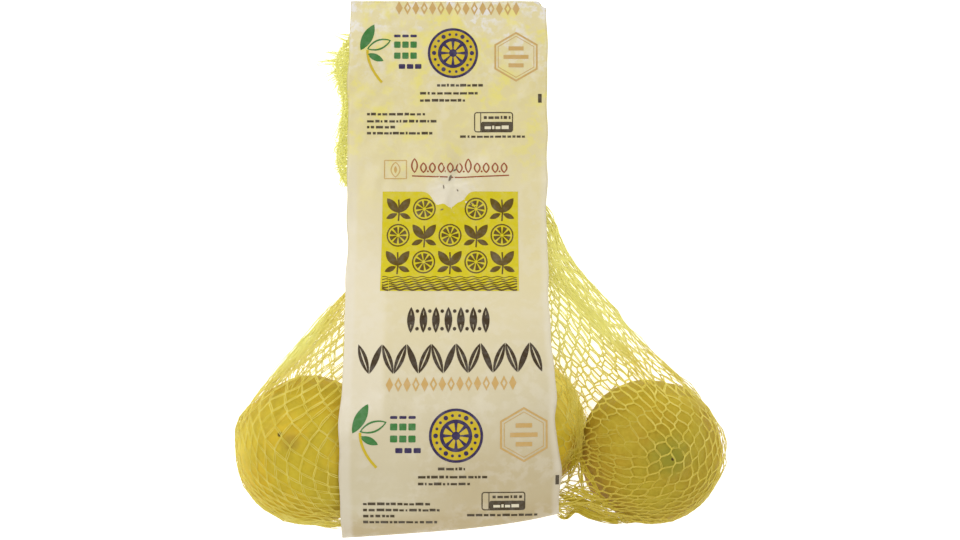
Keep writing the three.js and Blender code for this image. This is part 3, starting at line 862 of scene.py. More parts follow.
def new_material(name):
    """A material with its node tree, its Principled BSDF and the object's coordinates."""
    material = bpy.data.materials.new(name)
    material.use_nodes = True
    tree = material.node_tree
    shader = next(node for node in tree.nodes if node.type == "BSDF_PRINCIPLED")
    place = tree.nodes.new("ShaderNodeTexCoord").outputs["Object"]
    return material, tree, shader, place


def set_values(shader, **values):
    for name, value in values.items():
        shader.inputs[name.replace("_", " ")].default_value = value


def join_bump(tree, shader, height, distance, strength=1.0):
    bump = add_node(tree, "ShaderNodeBump", {"Height": height, "Distance": distance, "Strength": strength})
    tree.links.new(bump.outputs["Normal"], shader.inputs["Normal"])


def join_creases(tree, shader, place):
    height = use_group(tree, crumple_group(), {"Vector": place})["Height"]
    join_bump(tree, shader, height, CREASE_BUMP, 0.5)


def with_spots(tree, place, color, spots):
    """A colour with soft spots. spots are (centre in mm, inner radius, outer radius, colour, strength)."""
    for centre, inner, outer, spot_color, strength in spots:
        mask = spot(tree, place, centre, inner, outer, min(outer * 0.35, 6))
        color = mixed(tree, product(tree, mask, strength), color, spot_color)
    return color


def yarn_material(name, main, pale, opacity, glow, spots=()):
    """Clear glossy yarn with fine fibres."""
    material, tree, shader, place = new_material(name)
    color = with_spots(tree, place, mixed(tree, patches(tree, place, *YARN_PATCHES), main, pale), spots)
    feed(tree, shader, {"Base Color": color, "Emission Color": color})
    set_values(shader, Roughness=0.42, IOR=1.45, Specular_IOR_Level=0.16)
    set_values(shader, Emission_Strength=glow, Alpha=opacity)
    join_bump(tree, shader, noise(tree, place, FIBRE_SCALE, 1.0)["Fac"], FIBRE_BUMP)
    return material


def rind_material(name, settings, main, warm, spots):
    """Waxy rind with pores, patches and spots; some spots are painted light and shade."""
    material, tree, shader, place = new_material("Rind " + name)
    broad, medium, small = (patches(tree, place, *sizes) for sizes in RIND_PATCHES)
    color = mixed(tree, broad, main, warm)
    color = mixed(tree, product(tree, medium, DULL_SHARE), color, settings.dull_rind_color)
    color = mixed(tree, product(tree, small, PALE_SHARE), color, settings.pale_rind_color)
    color = with_spots(tree, place, color, spots)
    rough = remapped(tree, small, 0.0, 1.0, *RIND_ROUGHNESS)
    feed(tree, shader, {"Base Color": color, "Emission Color": color, "Roughness": rough})
    inputs = {"Vector": place, "Scale": PORE_SCALE, "Randomness": 1.0}
    pores = add_node(tree, "ShaderNodeTexVoronoi", inputs)
    pits = remapped(tree, pores.outputs["Distance"], 0.05, 0.42)
    join_bump(tree, shader, math_node(tree, "ADD", pits, product(tree, small, 0.4)), PORE_BUMP, 0.7)
    set_values(shader, IOR=1.45, Specular_IOR_Level=0.07, Emission_Strength=settings.rind_glow)
    return material


def film_material(settings):
    """Film with painted shade over the fruit, at the hem and at its lower right corner, and a painted sheen
    along its fold; yellow and flecked over the loose end of the net.
    """
    material, tree, shader, place = new_material("Cream film")
    uv = add_node(tree, "ShaderNodeSeparateXYZ", {"Vector": tree.nodes["Texture Coordinate"].outputs["UV"]})

    def across(*span):
        return remapped(tree, uv.outputs["X"], *span)

    def up(*span):
        return remapped(tree, uv.outputs["Y"], *span)

    broad, small, fine = (patches(tree, place, *sizes) for sizes in FILM_PATCHES)
    thin = math_node(tree, "SUBTRACT", 1.0, broad)
    over_end = up(*OVER_END_UP)
    tint = math_node(
        tree, "MAXIMUM",
        product(tree, over_end, up(*OVER_END_TURN, *OVER_END_SHARES)),
        product(tree, across(*OVER_NET_ACROSS), up(*OVER_NET_UP), OVER_NET_SHARE),
    )
    # Painted shade at the film's lower right corner.
    corner = product(tree, up(*CORNER_SHADE_UP), across(*CORNER_SHADE_ACROSS), CORNER_SHADE_SHARE)
    # A painted sheen along the fold.
    folded = product(tree, up(*SHEEN_FROM), up(*SHEEN_TO), across(*SHEEN_ACROSS), SHEEN_SHARE)
    margins = math_node(tree, "MAXIMUM", across(*LEFT_MARGIN), across(*RIGHT_MARGIN))
    puckered = (PUCKER_X, PUCKER_Y - RUBBED_BELOW, film_height(PUCKER_X, PUCKER_Y))
    rubbed = spot(tree, place, puckered, *RUBBED_SPOT)

    color = settings.film_color
    for share, coat in (
        # Painted shade over the fruit, at the lower right corner and at the hem.
        (up(*SHADE_OVER_FRUIT_UP), settings.shaded_film_color),
        (corner, settings.hem_shade_color),
        (up(*HEM_SHADE_UP), settings.hem_shade_color),
        (folded, settings.pale_film_and_sheen_color),
        (tint, settings.top_film_color),
        (product(tree, fine, thin, up(*FAR_END_UP), WHITE_SHARE), settings.white_film_color),
        (product(tree, broad, small, over_end, FLECK_SHARE), settings.fleck_color),
        (product(tree, thin, small, PALER_SHARE), settings.pale_film_and_sheen_color),
        (product(tree, margins, up(*MARGIN_UP), MARGIN_SHARE), settings.pale_film_and_sheen_color),
        (product(tree, rubbed, RUBBED_SHARE), settings.pale_film_and_sheen_color),
    ):
        color = mixed(tree, share, color, coat)
    feed(tree, shader, {"Base Color": color, "Roughness": remapped(tree, broad, 0.0, 1.0, *FILM_ROUGHNESS)})
    join_creases(tree, shader, place)
    set_values(shader, IOR=1.5, Alpha=settings.film_opacity, Coat_Weight=0.1, Coat_Roughness=0.2)
    return material


def ink_material(name, color):
    """Ink on the film, with thin places and the film's creases."""
    material, tree, shader, place = new_material("Ink " + name)
    worn = product(tree, patches(tree, place, *INK_PATCHES), WORN_SHARE)
    paler = tuple(lerp(c, 0.8, 0.45) for c in tuple(color)[:3])
    feed(tree, shader, {"Base Color": mixed(tree, worn, color, paler)})
    join_creases(tree, shader, place)
    set_values(shader, Roughness=0.42, IOR=1.45, Specular_IOR_Level=0.18)
    return material


# ---- Printed shapes: each makes triangles on the film's plan, in millimetres ----


def fan(points):
    points = np.asarray(points, float)
    first = np.broadcast_to(points[0], points[1:-1].shape)
    return np.stack([first, points[1:-1], points[2:]], 1)


def strip(one, other):
    one, other = np.asarray(one, float), np.asarray(other, float)
    lower = np.stack([one[:-1], one[1:], other[:-1]], 1)
    upper = np.stack([one[1:], other[1:], other[:-1]], 1)
    return np.concatenate([lower, upper])


def turned(points, degrees, centre):
    angle = np.radians(degrees)
    spin = np.array([[np.cos(angle), np.sin(angle)], [-np.sin(angle), np.cos(angle)]])
    return np.asarray(points, float) @ spin + np.asarray(centre, float)


def circle(radius, start=0, stop=360, count=32):
    angle = np.radians(np.linspace(start, stop, count + 1))
    return np.stack([radius * np.cos(angle), radius * np.sin(angle)], -1)


def disc(centre, radius):
    return fan(circle(radius) + centre)


def ring(centre, outer, inner, start=0, stop=360, count=48):
    return strip(circle(outer, start, stop, count) + centre, circle(inner, start, stop, count) + centre)


def bar(x0, y0, x1, y1):
    return fan([(x0, y0), (x1, y0), (x1, y1), (x0, y1)])


def wedge(centre, inner, outer):
    """A segment between two arcs, each (radius, start, stop, count)."""
    return fan(np.concatenate([circle(*inner), circle(*outer)]) + centre)


def leaf_edge(length, width, side, count=12):
    t = np.linspace(0, 1, count + 1)
    return np.stack([length * (t - 0.5), side * width / 2 * np.sin(np.pi * t) ** 0.8], -1)


def leaf(centre, length, width, turn):
    low, high = (turned(leaf_edge(length, width, side), turn, centre) for side in (-1, 1))
    return strip(low, high)


def outline_leaf(centre, length, width, turn, line):
    shapes = []
    for side in (-1, 1):
        outer = leaf_edge(length, width, side)
        inner = leaf_edge(length - 2 * line, width - 2 * line, side)
        shapes.append(strip(turned(outer, turn, centre), turned(inner, turn, centre)))
    return np.concatenate(shapes)


def stroke(points, width):
    points = np.asarray(points, float)
    ahead = unit(np.gradient(points, axis=0))
    side = np.stack([-ahead[:, 1], ahead[:, 0]], -1) * width / 2
    return strip(points - side, points + side)


def rounded(x0, y0, x1, y1, radius):
    """The closed outline of a box with round corners."""
    corners = ((x1 - radius, y1 - radius, 0), (x0 + radius, y1 - radius, 90),
               (x0 + radius, y0 + radius, 180), (x1 - radius, y0 + radius, 270))
    points = [circle(radius, turn, turn + 90, 6) + np.array([x, y]) for x, y, turn in corners]
    return np.concatenate([*points, points[0][:1]])


def box_line(x0, y0, x1, y1, radius, line):
    inner = rounded(x0 + line, y0 + line, x1 - line, y1 - line, max(radius - line, 0.05))
    return strip(rounded(x0, y0, x1, y1, radius), inner)


def split_long(triangles, limit):
    """Halves long edges until none is left, so the print can follow the film."""
    while True:
        lengths = np.linalg.norm(np.roll(triangles, -1, axis=1) - triangles, axis=2)
        long = lengths.max(axis=1) > limit
        if not long.any():
            return triangles
        cut, k = triangles[long], lengths[long].argmax(axis=1)
        i = np.arange(len(cut))
        a, b, c = cut[i, k], cut[i, (k + 1) % 3], cut[i, (k + 2) % 3]
        middle = (a + b) / 2
        halves = [np.stack([a, middle, c], 1), np.stack([middle, b, c], 1)]
        triangles = np.concatenate([triangles[~long], *halves])


class Print:
    """Collects printed shapes by ink and lays them on the film."""

    def __init__(self):
        self.inks = {}

    def add(self, ink, *shapes, layer=0):
        for triangles in shapes:
            self.inks.setdefault(ink, []).append((layer, triangles))

    def lay(self, ink, material):
        points, faces, count = [], [], 0
        for layer in sorted({layer for layer, _ in self.inks[ink]}):
            flat = np.concatenate([t for at, t in self.inks[ink] if at == layer])
            flat = split_long(flat, INK_EDGE)
            sides = np.cross(flat[:, 1] - flat[:, 0], flat[:, 2] - flat[:, 0])
            flat = flat[np.abs(sides) > 1e-7]
            flipped = np.cross(flat[:, 1] - flat[:, 0], flat[:, 2] - flat[:, 0]) < 0
            flat[flipped] = flat[flipped][:, ::-1]
            places, index = np.unique(np.round(flat.reshape(-1, 2), 4), axis=0, return_inverse=True)
            lift = FILM_SHEET / 2 + INK_LIFT + INK_LAYER * layer
            height = film_middle(places[:, 0], places[:, 1]) + lift
            points.append(np.column_stack([places, height]))
            faces.append(index.reshape(-1, 3) + count)
            count += len(places)
        return add_mesh("print_" + ink, np.concatenate(points), np.concatenate(faces), [material])


def dashes(sheet, ink, x0, x1, y, height, seed, layer=0):
    """A row of small marks of uneven length."""
    rng = np.random.default_rng(seed)
    x = x0
    while x < x1 - 0.6:
        length = min(rng.uniform(0.7, 3.4), x1 - x)
        tall = height * rng.uniform(0.75, 1.0)
        sheet.add(ink, bar(x, y, x + length, y + tall), layer=layer)
        x += length + rng.uniform(0.45, 0.85)


def medallion(sheet, x, y, radius):
    """A rim of dots round a wheel of eight segments."""
    centre = (x, y)
    rim, face = radius * 0.9, radius * 0.6
    sheet.add("violet", ring(centre, radius, rim))
    sheet.add("gold", ring(centre, rim, face))
    sheet.add("violet", disc(centre, face))
    dots = 18
    for k in range(dots):
        turn = k * 360 / dots
        at = circle(radius * 0.75, turn, turn + 1, 1)[0] + centre
        sheet.add("violet", disc(at, radius * (0.055 if k % 3 else 0.085)), layer=1)
    for turn in range(0, 360, 45):
        inner, outer = (radius * 0.16, turn + 8, turn + 37, 4), (radius * 0.47, turn + 37, turn + 8, 4)
        sheet.add("gold", wedge(centre, inner, outer), layer=1)


def leaf_fan(sheet, x, y, width, height):
    """Three leaves on a curved stem, with tinted bars beside them."""
    foot = x + width * 0.16
    stem = [(foot + 0.25 * width * t**2, y + height * 0.62 * (1 - t)) for t in np.linspace(0, 1, 14)]
    sheet.add("gold", stroke(stem, 1.2))
    sheet.add("green", leaf((foot, y + height * 0.86), width * 0.5, height * 0.2, 62))
    middle_leaf = (x + width * 0.36, y + height * 0.72)
    sheet.add("green", outline_leaf(middle_leaf, width * 0.44, height * 0.2, 20, 0.8))
    sheet.add("green", leaf((x + width * 0.3, y + height * 0.48), width * 0.3, height * 0.13, -24))
    # Rows of three bars: where they start, how far up they lie and how tall they are.
    rows = (
        (0.62, 0.86, 0.05, "violet"), (0.62, 0.66, 0.12, "green"), (0.62, 0.45, 0.12, "green"),
        (0.7, 0.26, 0.09, "violet"),
    )
    for start, up, tall, ink in rows:
        low, high = y + height * up, y + height * (up + tall)
        for j in range(3):
            x0 = x + width * start + j * width * 0.14
            sheet.add(ink, fan(rounded(x0, low, x0 + width * 0.11, high, 0.4)[:-1]))


def badge(sheet, x, y, radius):
    """A six-sided outline with three bars."""
    for outer, inner in ((1, 0.92), (0.84, 0.81)):
        sheet.add("tan", ring((x, y), radius * outer, radius * inner, 30, 390, 6))
    for k, half in enumerate((0.3, 0.5, 0.3)):
        low = y + radius * (0.26 - k * 0.34)
        sheet.add("tan", bar(x - radius * half, low, x + radius * half, low + radius * 0.16))


def slice_motif(sheet, ink, x, y, radius, turn, layer):
    """A slice of citrus: rim and eight segments."""
    sheet.add(ink, ring((x, y), radius, radius * 0.88, count=28), layer=layer)
    for start in range(turn, turn + 360, 45):
        inner, outer = (radius * 0.14, start + 12, start + 33, 2), (radius * 0.74, start + 38, start + 7, 5)
        sheet.add(ink, wedge((x, y), inner, outer), layer=layer)


def garland(sheet, ink, x0, x1, y0, y1, count):
    """Pointed ovals with dots between them, in a line."""
    step = (x1 - x0) / count
    middle, height = (y0 + y1) / 2, y1 - y0
    for k in range(count):
        x = x0 + (k + 0.5) * step
        sheet.add(ink, outline_leaf((x, middle), height, step * 0.62, 90, 1.5))
        sheet.add(ink, leaf((x, middle), height * 0.4, step * 0.16, 90))
        if k:
            for up in (0.16, 0.84):
                sheet.add(ink, disc((x0 + k * step, y0 + height * up), 0.8))


def slanted_leaves(sheet, ink, x0, x1, y_left, y_right, height, count):
    """Leaves that lean by turns, whole and outlined."""
    step = (x1 - x0) / count
    for k in range(count):
        x = x0 + (k + 0.5) * step
        y = lerp(y_left, y_right, (x - x0) / (x1 - x0))
        turn = 68 if k % 2 else 112
        if k % 3 == 1:
            sheet.add(ink, leaf((x, y), height, step * 0.5, turn))
        else:
            sheet.add(ink, outline_leaf((x, y), height, step * 0.66, turn, 1.5))


def lozenges(sheet, ink, x0, x1, y_left, y_right, height, count):
    step = (x1 - x0) / count
    for k in range(count):
        x = x0 + (k + 0.5) * step
        y = lerp(y_left, y_right, (x - x0) / (x1 - x0))
        outer = circle(1, 0, 360, 4) * (step * 0.42, height / 2) + (x, y)
        inner = circle(1, 0, 360, 4) * (step * 0.22, height * 0.25) + (x, y)
        sheet.add(ink, strip(outer, inner) if k % 2 else fan(outer[:-1]))


PANEL_LEFT, PANEL_RIGHT, PANEL_LOW, PANEL_HIGH = -44.8, 17.8, -12.7, 33.0


def panel_top(x):
    """The panel's upper edge, with the patch that the hook has rubbed off."""
    worn = 7.5 * np.exp(-(((x + 14.5) / 8) ** 4)) * (0.88 + 0.12 * np.sin(x * 0.9 + 1))
    return PANEL_HIGH - worn


def panel(sheet):
    x = np.linspace(PANEL_LEFT, PANEL_RIGHT, 64)
    low, high = np.full_like(x, PANEL_LOW), panel_top(x)
    sheet.add("lime", strip(np.column_stack([x, low]), np.column_stack([x, high])))
    columns, rows = 5, 3
    step = (PANEL_RIGHT - PANEL_LEFT - 3) / columns
    rise = (PANEL_HIGH - PANEL_LOW - 9) / rows
    for row in range(rows):
        for k in range(columns):
            x = PANEL_LEFT + 1.5 + (k + 0.5) * step
            y = PANEL_LOW + 7 + (row + 0.5) * rise
            if y + 5.4 > panel_top(x):
                continue
            if (row + k) % 2:
                slice_motif(sheet, "olive", x, y, 5.3, 11 * k, 1)
                continue
            for side in (-1, 1):
                sheet.add("olive", leaf((x + side * 2.7, y + 1.6), 8.6, 3.8, 90 + side * -38), layer=1)
                sheet.add("olive", leaf((x + side * 3.1, y - 3.3), 5.6, 2.4, side * -24), layer=1)
            sheet.add("olive", stroke([(x, y - 5.6), (x + 0.3, y - 1), (x, y + 4.4)], 0.7), layer=1)
    x = np.linspace(PANEL_LEFT + 0.8, PANEL_RIGHT - 0.8, 70)
    for k in range(6):
        wave = PANEL_LOW + 0.7 + k * 1.1 + 0.35 * np.sin(x * 1.1 + k)
        sheet.add("olive", stroke(np.column_stack([x, wave]), 0.75 - 0.08 * k), layer=1)


def printed_box(sheet, x0, y0, x1, y1):
    """A dark box with light fields."""
    sheet.add("umber", box_line(x0, y0, x1, y1, 1.3, 0.5))
    wide, high = x1 - x0, y1 - y0
    sheet.add("umber", fan(rounded(x0 + wide * 0.18, y0 + 0.3, x1 - 0.3, y0 + high * 0.52, 0.9)[:-1]))
    sheet.add("umber", stroke([(x0 + wide * 0.17, y0 + 0.4), (x0 + wide * 0.17, y1 - 0.4)], 0.4))
    dashes(sheet, "umber", x0 + wide * 0.25, x1 - 1.2, y0 + high * 0.66, high * 0.16, 71)
    dashes(sheet, "cream", x0 + wide * 0.27, x1 - 1.8, y0 + high * 0.16, high * 0.18, 72, layer=1)


# The printed blocks at the band's two ends, in millimetres on plan. Rows of marks are (x0, x1, y).
TOP_BLOCK = {
    "leaf_fan": (-56.4, 83.8, 27, 24.5), "medallion": (-12.3, 97.5, 11.7), "badge": (17, 95.8, 11.6),
    "middle_rows": [(-19.7, 1.6, 81.9), (-27.6, 0.3, 78.2), (-27.6, -6.7, 74.9)],
    "left_rows": [(-52.2, -25.3, 68.5), (-52.2, -19.7, 65.2), (-52.2, -39.2, 62.4), (-52.2, -21.6, 59.6)],
    "right_row": (-9, 21.1, 58.1), "box": (-2.5, 60.6, 15.6, 70), "edge_mark": (27.2, 74.4, 28.9, 78.5),
    "seeds": (20, 30, 40),
}
LOW_BLOCK = {
    "leaf_fan": (-56, -88.6, 28.2, 24.5), "medallion": (-10.1, -74.8, 11.7), "badge": (19.2, -74.4, 11.9),
    "middle_rows": [(-17.9, -6.2, -89.8), (-26.5, 4.1, -93.4), (-26.6, -4.1, -96.5)],
    "left_rows": [
        (-50.7, -21.5, -105.8), (-50.8, -17.2, -108.7), (-50.9, -36.9, -111.6), (-51, -18.6, -114.5),
    ],
    "right_row": (-5.4, 25.4, -111), "box": (0.9, -108.2, 20, -99.6),
    "edge_mark": (33.1, -96.8, 34.7, -92.5),
    "seeds": (50, 60, 41),
}
ROW_HEIGHT, RIGHT_ROW_HEIGHT = 1.3, 1.2
# The rows of lozenges: both ends across, the height at each end, how tall and how many.
TOP_LOZENGES, LOW_LOZENGES = (-39.3, 19, 118.6, 118.2, 6.2, 15), (-41, 16.4, -53.2, -52.2, 6.2, 15)
SMALL_FRAME = (-44.2, 38.8, -33.6, 47.7)
OVALS, OVALS_X, OVALS_Y, OVALS_STEP, TALL_OVALS = 11, -32, 41.6, 4.15, (0, 6)
UNDERLINE = [(-31.2, 40.3), (-9, 39.6), (13.7, 40.6)]
# Slits where the hook went through: x, y, length and turn.
SLITS = [
    (-13.6, 39.3, 3.4, 70), (-11.3, 43.1, 2.2, 35), (-16.6, 35.2, 2.0, 100), (-17.3, 24.6, 1.8, 20),
    (-3.4, 27.9, 1.6, -30), (-10.2, 33.6, 1.5, 120),
]


def draw_block(sheet, block):
    leaf_fan(sheet, *block["leaf_fan"])
    medallion(sheet, *block["medallion"])
    badge(sheet, *block["badge"])
    middle_seed, left_seed, right_seed = block["seeds"]
    for rows, seed in ((block["middle_rows"], middle_seed), (block["left_rows"], left_seed)):
        for k, row in enumerate(rows):
            dashes(sheet, "umber", *row, ROW_HEIGHT, seed + k)
    printed_box(sheet, *block["box"])
    dashes(sheet, "umber", *block["right_row"], RIGHT_ROW_HEIGHT, right_seed)
    sheet.add("umber", bar(*block["edge_mark"]))


def draw_ovals(sheet):
    """The small underlined row between the upper block and the panel, with its frame."""
    x0, y0, x1, y1 = SMALL_FRAME
    middle = ((x0 + x1) / 2, (y0 + y1) / 2 - 0.05)
    sheet.add("tan", box_line(*SMALL_FRAME, 0.4, 0.45))
    sheet.add("tan", outline_leaf(middle, 7.4, 4.6, 90, 0.5), leaf(middle, 3.4, 1.4, 90))
    for k in range(OVALS):
        x = OVALS_X + k * OVALS_STEP
        height = 7.0 if k in TALL_OVALS else 5.0
        sheet.add("russet", outline_leaf((x + 1.9, OVALS_Y + height / 2), height, 3.3, 90, 0.75))
        if k % 2:
            sheet.add("russet", disc((x + 3.95, OVALS_Y + 0.8), 0.45))
    sheet.add("russet", stroke(UNDERLINE, 0.6))


def draw_print():
    sheet = Print()
    lozenges(sheet, "tan", *TOP_LOZENGES)
    draw_block(sheet, TOP_BLOCK)
    draw_ovals(sheet)
    panel(sheet)
    for x, y, length, turn in SLITS:
        sheet.add("shade", leaf((x, y), length, length * 0.34, turn), layer=2)
    garland(sheet, "brown", -33.2, 5.6, -31.1, -19.8, 7)
    slanted_leaves(sheet, "brown", -53.7, 27.6, -42.5, -41.4, 13.5, 15)
    lozenges(sheet, "tan", *LOW_LOZENGES)
    draw_block(sheet, LOW_BLOCK)
    return sheet


# ---- Settings ----


def size_setting(name, description, default):
    return bpy.props.FloatProperty(
        name=name, description=description, default=default, min=0.0,
        unit="LENGTH", subtype="DISTANCE", precision=5,
    )


def color_setting(name, description, default):
    return bpy.props.FloatVectorProperty(
        name=name, description=description, default=default, size=3, min=0.0, max=1.0, subtype="COLOR"
    )


def number_setting(name, description, default, **limits):
    return bpy.props.FloatProperty(name=name, description=description, default=default, min=0.0, **limits)


class LemonNetYarnSettings(bpy.types.PropertyGroup):
    yarn_width: size_setting("Yarn width", "Width of one of the two yarns of a strand", 0.00034)
    joint_width: size_setting("Joint width", "Width of the joint where strands meet", 0.0008)
    yarn_color: color_setting("Yarn colour", "Colour of the net's yarn", (0.73, 0.61, 0.09))
    pale_yarn_color: color_setting("Pale yarn colour", "Where the yarn lets light in", (0.81, 0.71, 0.17))
    # Painted light: the yarn paler where no fruit is behind it and the bright floor shines through.
    backlit_yarn_color: color_setting("Loose yarn colour", "Paler, where no fruit is", (0.87, 0.86, 0.30))
    dull_yarn_color: color_setting("Dull yarn colour", "Over the right lemon", (0.60, 0.46, 0.05))
    # Painted shade: darker yarn where the yarns pile up in the shade at the net's lower edge and below the
    # tuck.
    shaded_bunched_yarn_color: color_setting("Bunched yarn colour", "Where yarns bunch", (0.47, 0.355, 0.018))
    pale_bunched_color: color_setting("Pale bunched colour", "Lighter yarns in a bunch", (0.62, 0.49, 0.05))
    yarn_glow: number_setting("Yarn glow", "Light that comes through the clear yarn", 0.12, max=1.0)
    yarn_opacity: number_setting(
        "Yarn opacity", "How much the clear yarn hides", 0.62, max=1.0, subtype="FACTOR"
    )
    bunched_opacity: number_setting(
        "Bunched opacity", "How much bunched yarn hides", 0.85, max=1.0, subtype="FACTOR"
    )


class LemonNetFruitSettings(bpy.types.PropertyGroup):
    rind_color: color_setting("Rind colour", "Main colour of the rind", (0.50, 0.385, 0.029))
    warm_rind_color: color_setting("Warm rind colour", "Riper patches", (0.55, 0.375, 0.025))
    # The middle lemon's own orange-gold rind, painted lighter to make up for the film's shade over it.
    bright_rind_color: color_setting("Bright rind colour", "The middle lemon", (0.62, 0.45, 0.028))
    # Also the painted shade on the left lemon's lower right side.
    dull_rind_color: color_setting("Dull rind colour", "The right lemon", (0.36, 0.272, 0.022))
    dull_warm_rind_color: color_setting("Dull riper colour", "Right lemon's patches", (0.37, 0.24, 0.018))
    # Painted light: the lit upper side of the middle lemon and the lit left side of the left lemon.
    light_rind_color: color_setting("Light rind colour", "The middle lemon's pale side", (0.74, 0.60, 0.10))
    # Painted shade where the middle and right lemons face each other, and on the right lemon's lower left
    # side.
    brown_shade_color: color_setting("Brown colour", "The duller sides of two lemons", (0.40, 0.235, 0.035))
    pale_rind_color: color_setting("Pale rind colour", "Fine paler flecks", (0.60, 0.48, 0.06))
    green_color: color_setting("Unripe colour", "The last green at a tip", (0.20, 0.20, 0.022))
    stain_color: color_setting("Stain colour", "The dark scar at a tip", (0.06, 0.035, 0.01))
    # Painted shade that a nipple casts beside it, by the scar.
    shade_color: color_setting("Nipple shade colour", "The greyish brown by the scar", (0.28, 0.18, 0.035))
    rind_glow: number_setting("Rind glow", "Light that comes through the rind", 0.13, max=1.0)


class LemonNetFilmSettings(bpy.types.PropertyGroup):
    film_color: color_setting("Film colour", "Main colour of the film", (0.745, 0.655, 0.40))
    # Painted shade on the film over the fruit, where it slopes away from the light.
    shaded_film_color: color_setting("Film colour below", "Over the fruit", (0.65, 0.57, 0.37))
    # Painted shade on the film's lower end and its lower right corner.
    hem_shade_color: color_setting("Hem colour", "The film's lower end", (0.53, 0.42, 0.22))
    top_film_color: color_setting("Film colour above", "Over the loose end of the net", (0.72, 0.62, 0.25))
    fleck_color: color_setting("Fleck colour", "Where the net presses on the film", (0.80, 0.71, 0.16))
    # Also a painted sheen along the fold in the film.
    pale_film_and_sheen_color: color_setting("Pale film colour", "Margins and rubbed places", (0.80, 0.74, 0.62))
    white_film_color: color_setting("White film colour", "Thin flecks at the far end", (0.80, 0.77, 0.74))
    film_opacity: number_setting("Film opacity", "How much the film hides", 0.92, max=1.0, subtype="FACTOR")


class LemonNetPrintSettings(bpy.types.PropertyGroup):
    lime: color_setting("Field colour", "The yellow-green field", linear(206, 190, 22))
    olive: color_setting("Pattern colour", "The pattern on the field", linear(93, 73, 14))
    brown: color_setting("Band colour", "The two dark bands", linear(62, 48, 28))
    umber: color_setting("Small mark colour", "The small dark marks", linear(74, 62, 40))
    tan: color_setting("Tan colour", "Lozenges, badges and the small frame", linear(196, 160, 96))
    russet: color_setting("Russet colour", "The small red-brown row", linear(150, 78, 40))
    violet: color_setting("Violet colour", "Medallions and bars", linear(50, 38, 78))
    gold: color_setting("Gold colour", "Medallions and stems", linear(198, 172, 26))
    green: color_setting("Green colour", "Leaves and bars", linear(58, 118, 54))
    cream: color_setting("Cream colour", "Marks inside the dark boxes", linear(224, 214, 184))
    shade: color_setting("Slit colour", "The small slits where the hook went through", linear(120, 108, 90))


class LemonNetStageSettings(bpy.types.PropertyGroup):
    floor_color: color_setting("Floor colour", "Colour of the floor", (0.93, 0.93, 0.93))
    floor_glow: number_setting("Floor glow", "Light that the floor gives off", 0.72, max=2.0)
    key_power: number_setting("Key light", "Power of the key light in watts", 5.5, unit="POWER")
    fill_power: number_setting("Fill light", "Power of the fill light in watts", 1.5, unit="POWER")
    room_light: number_setting("Room light", "Strength of the light from all round", 0.72, max=2.0)
    camera_height: size_setting("Camera height", "Height of the camera over the floor", 0.85)


# ---- Operators ----


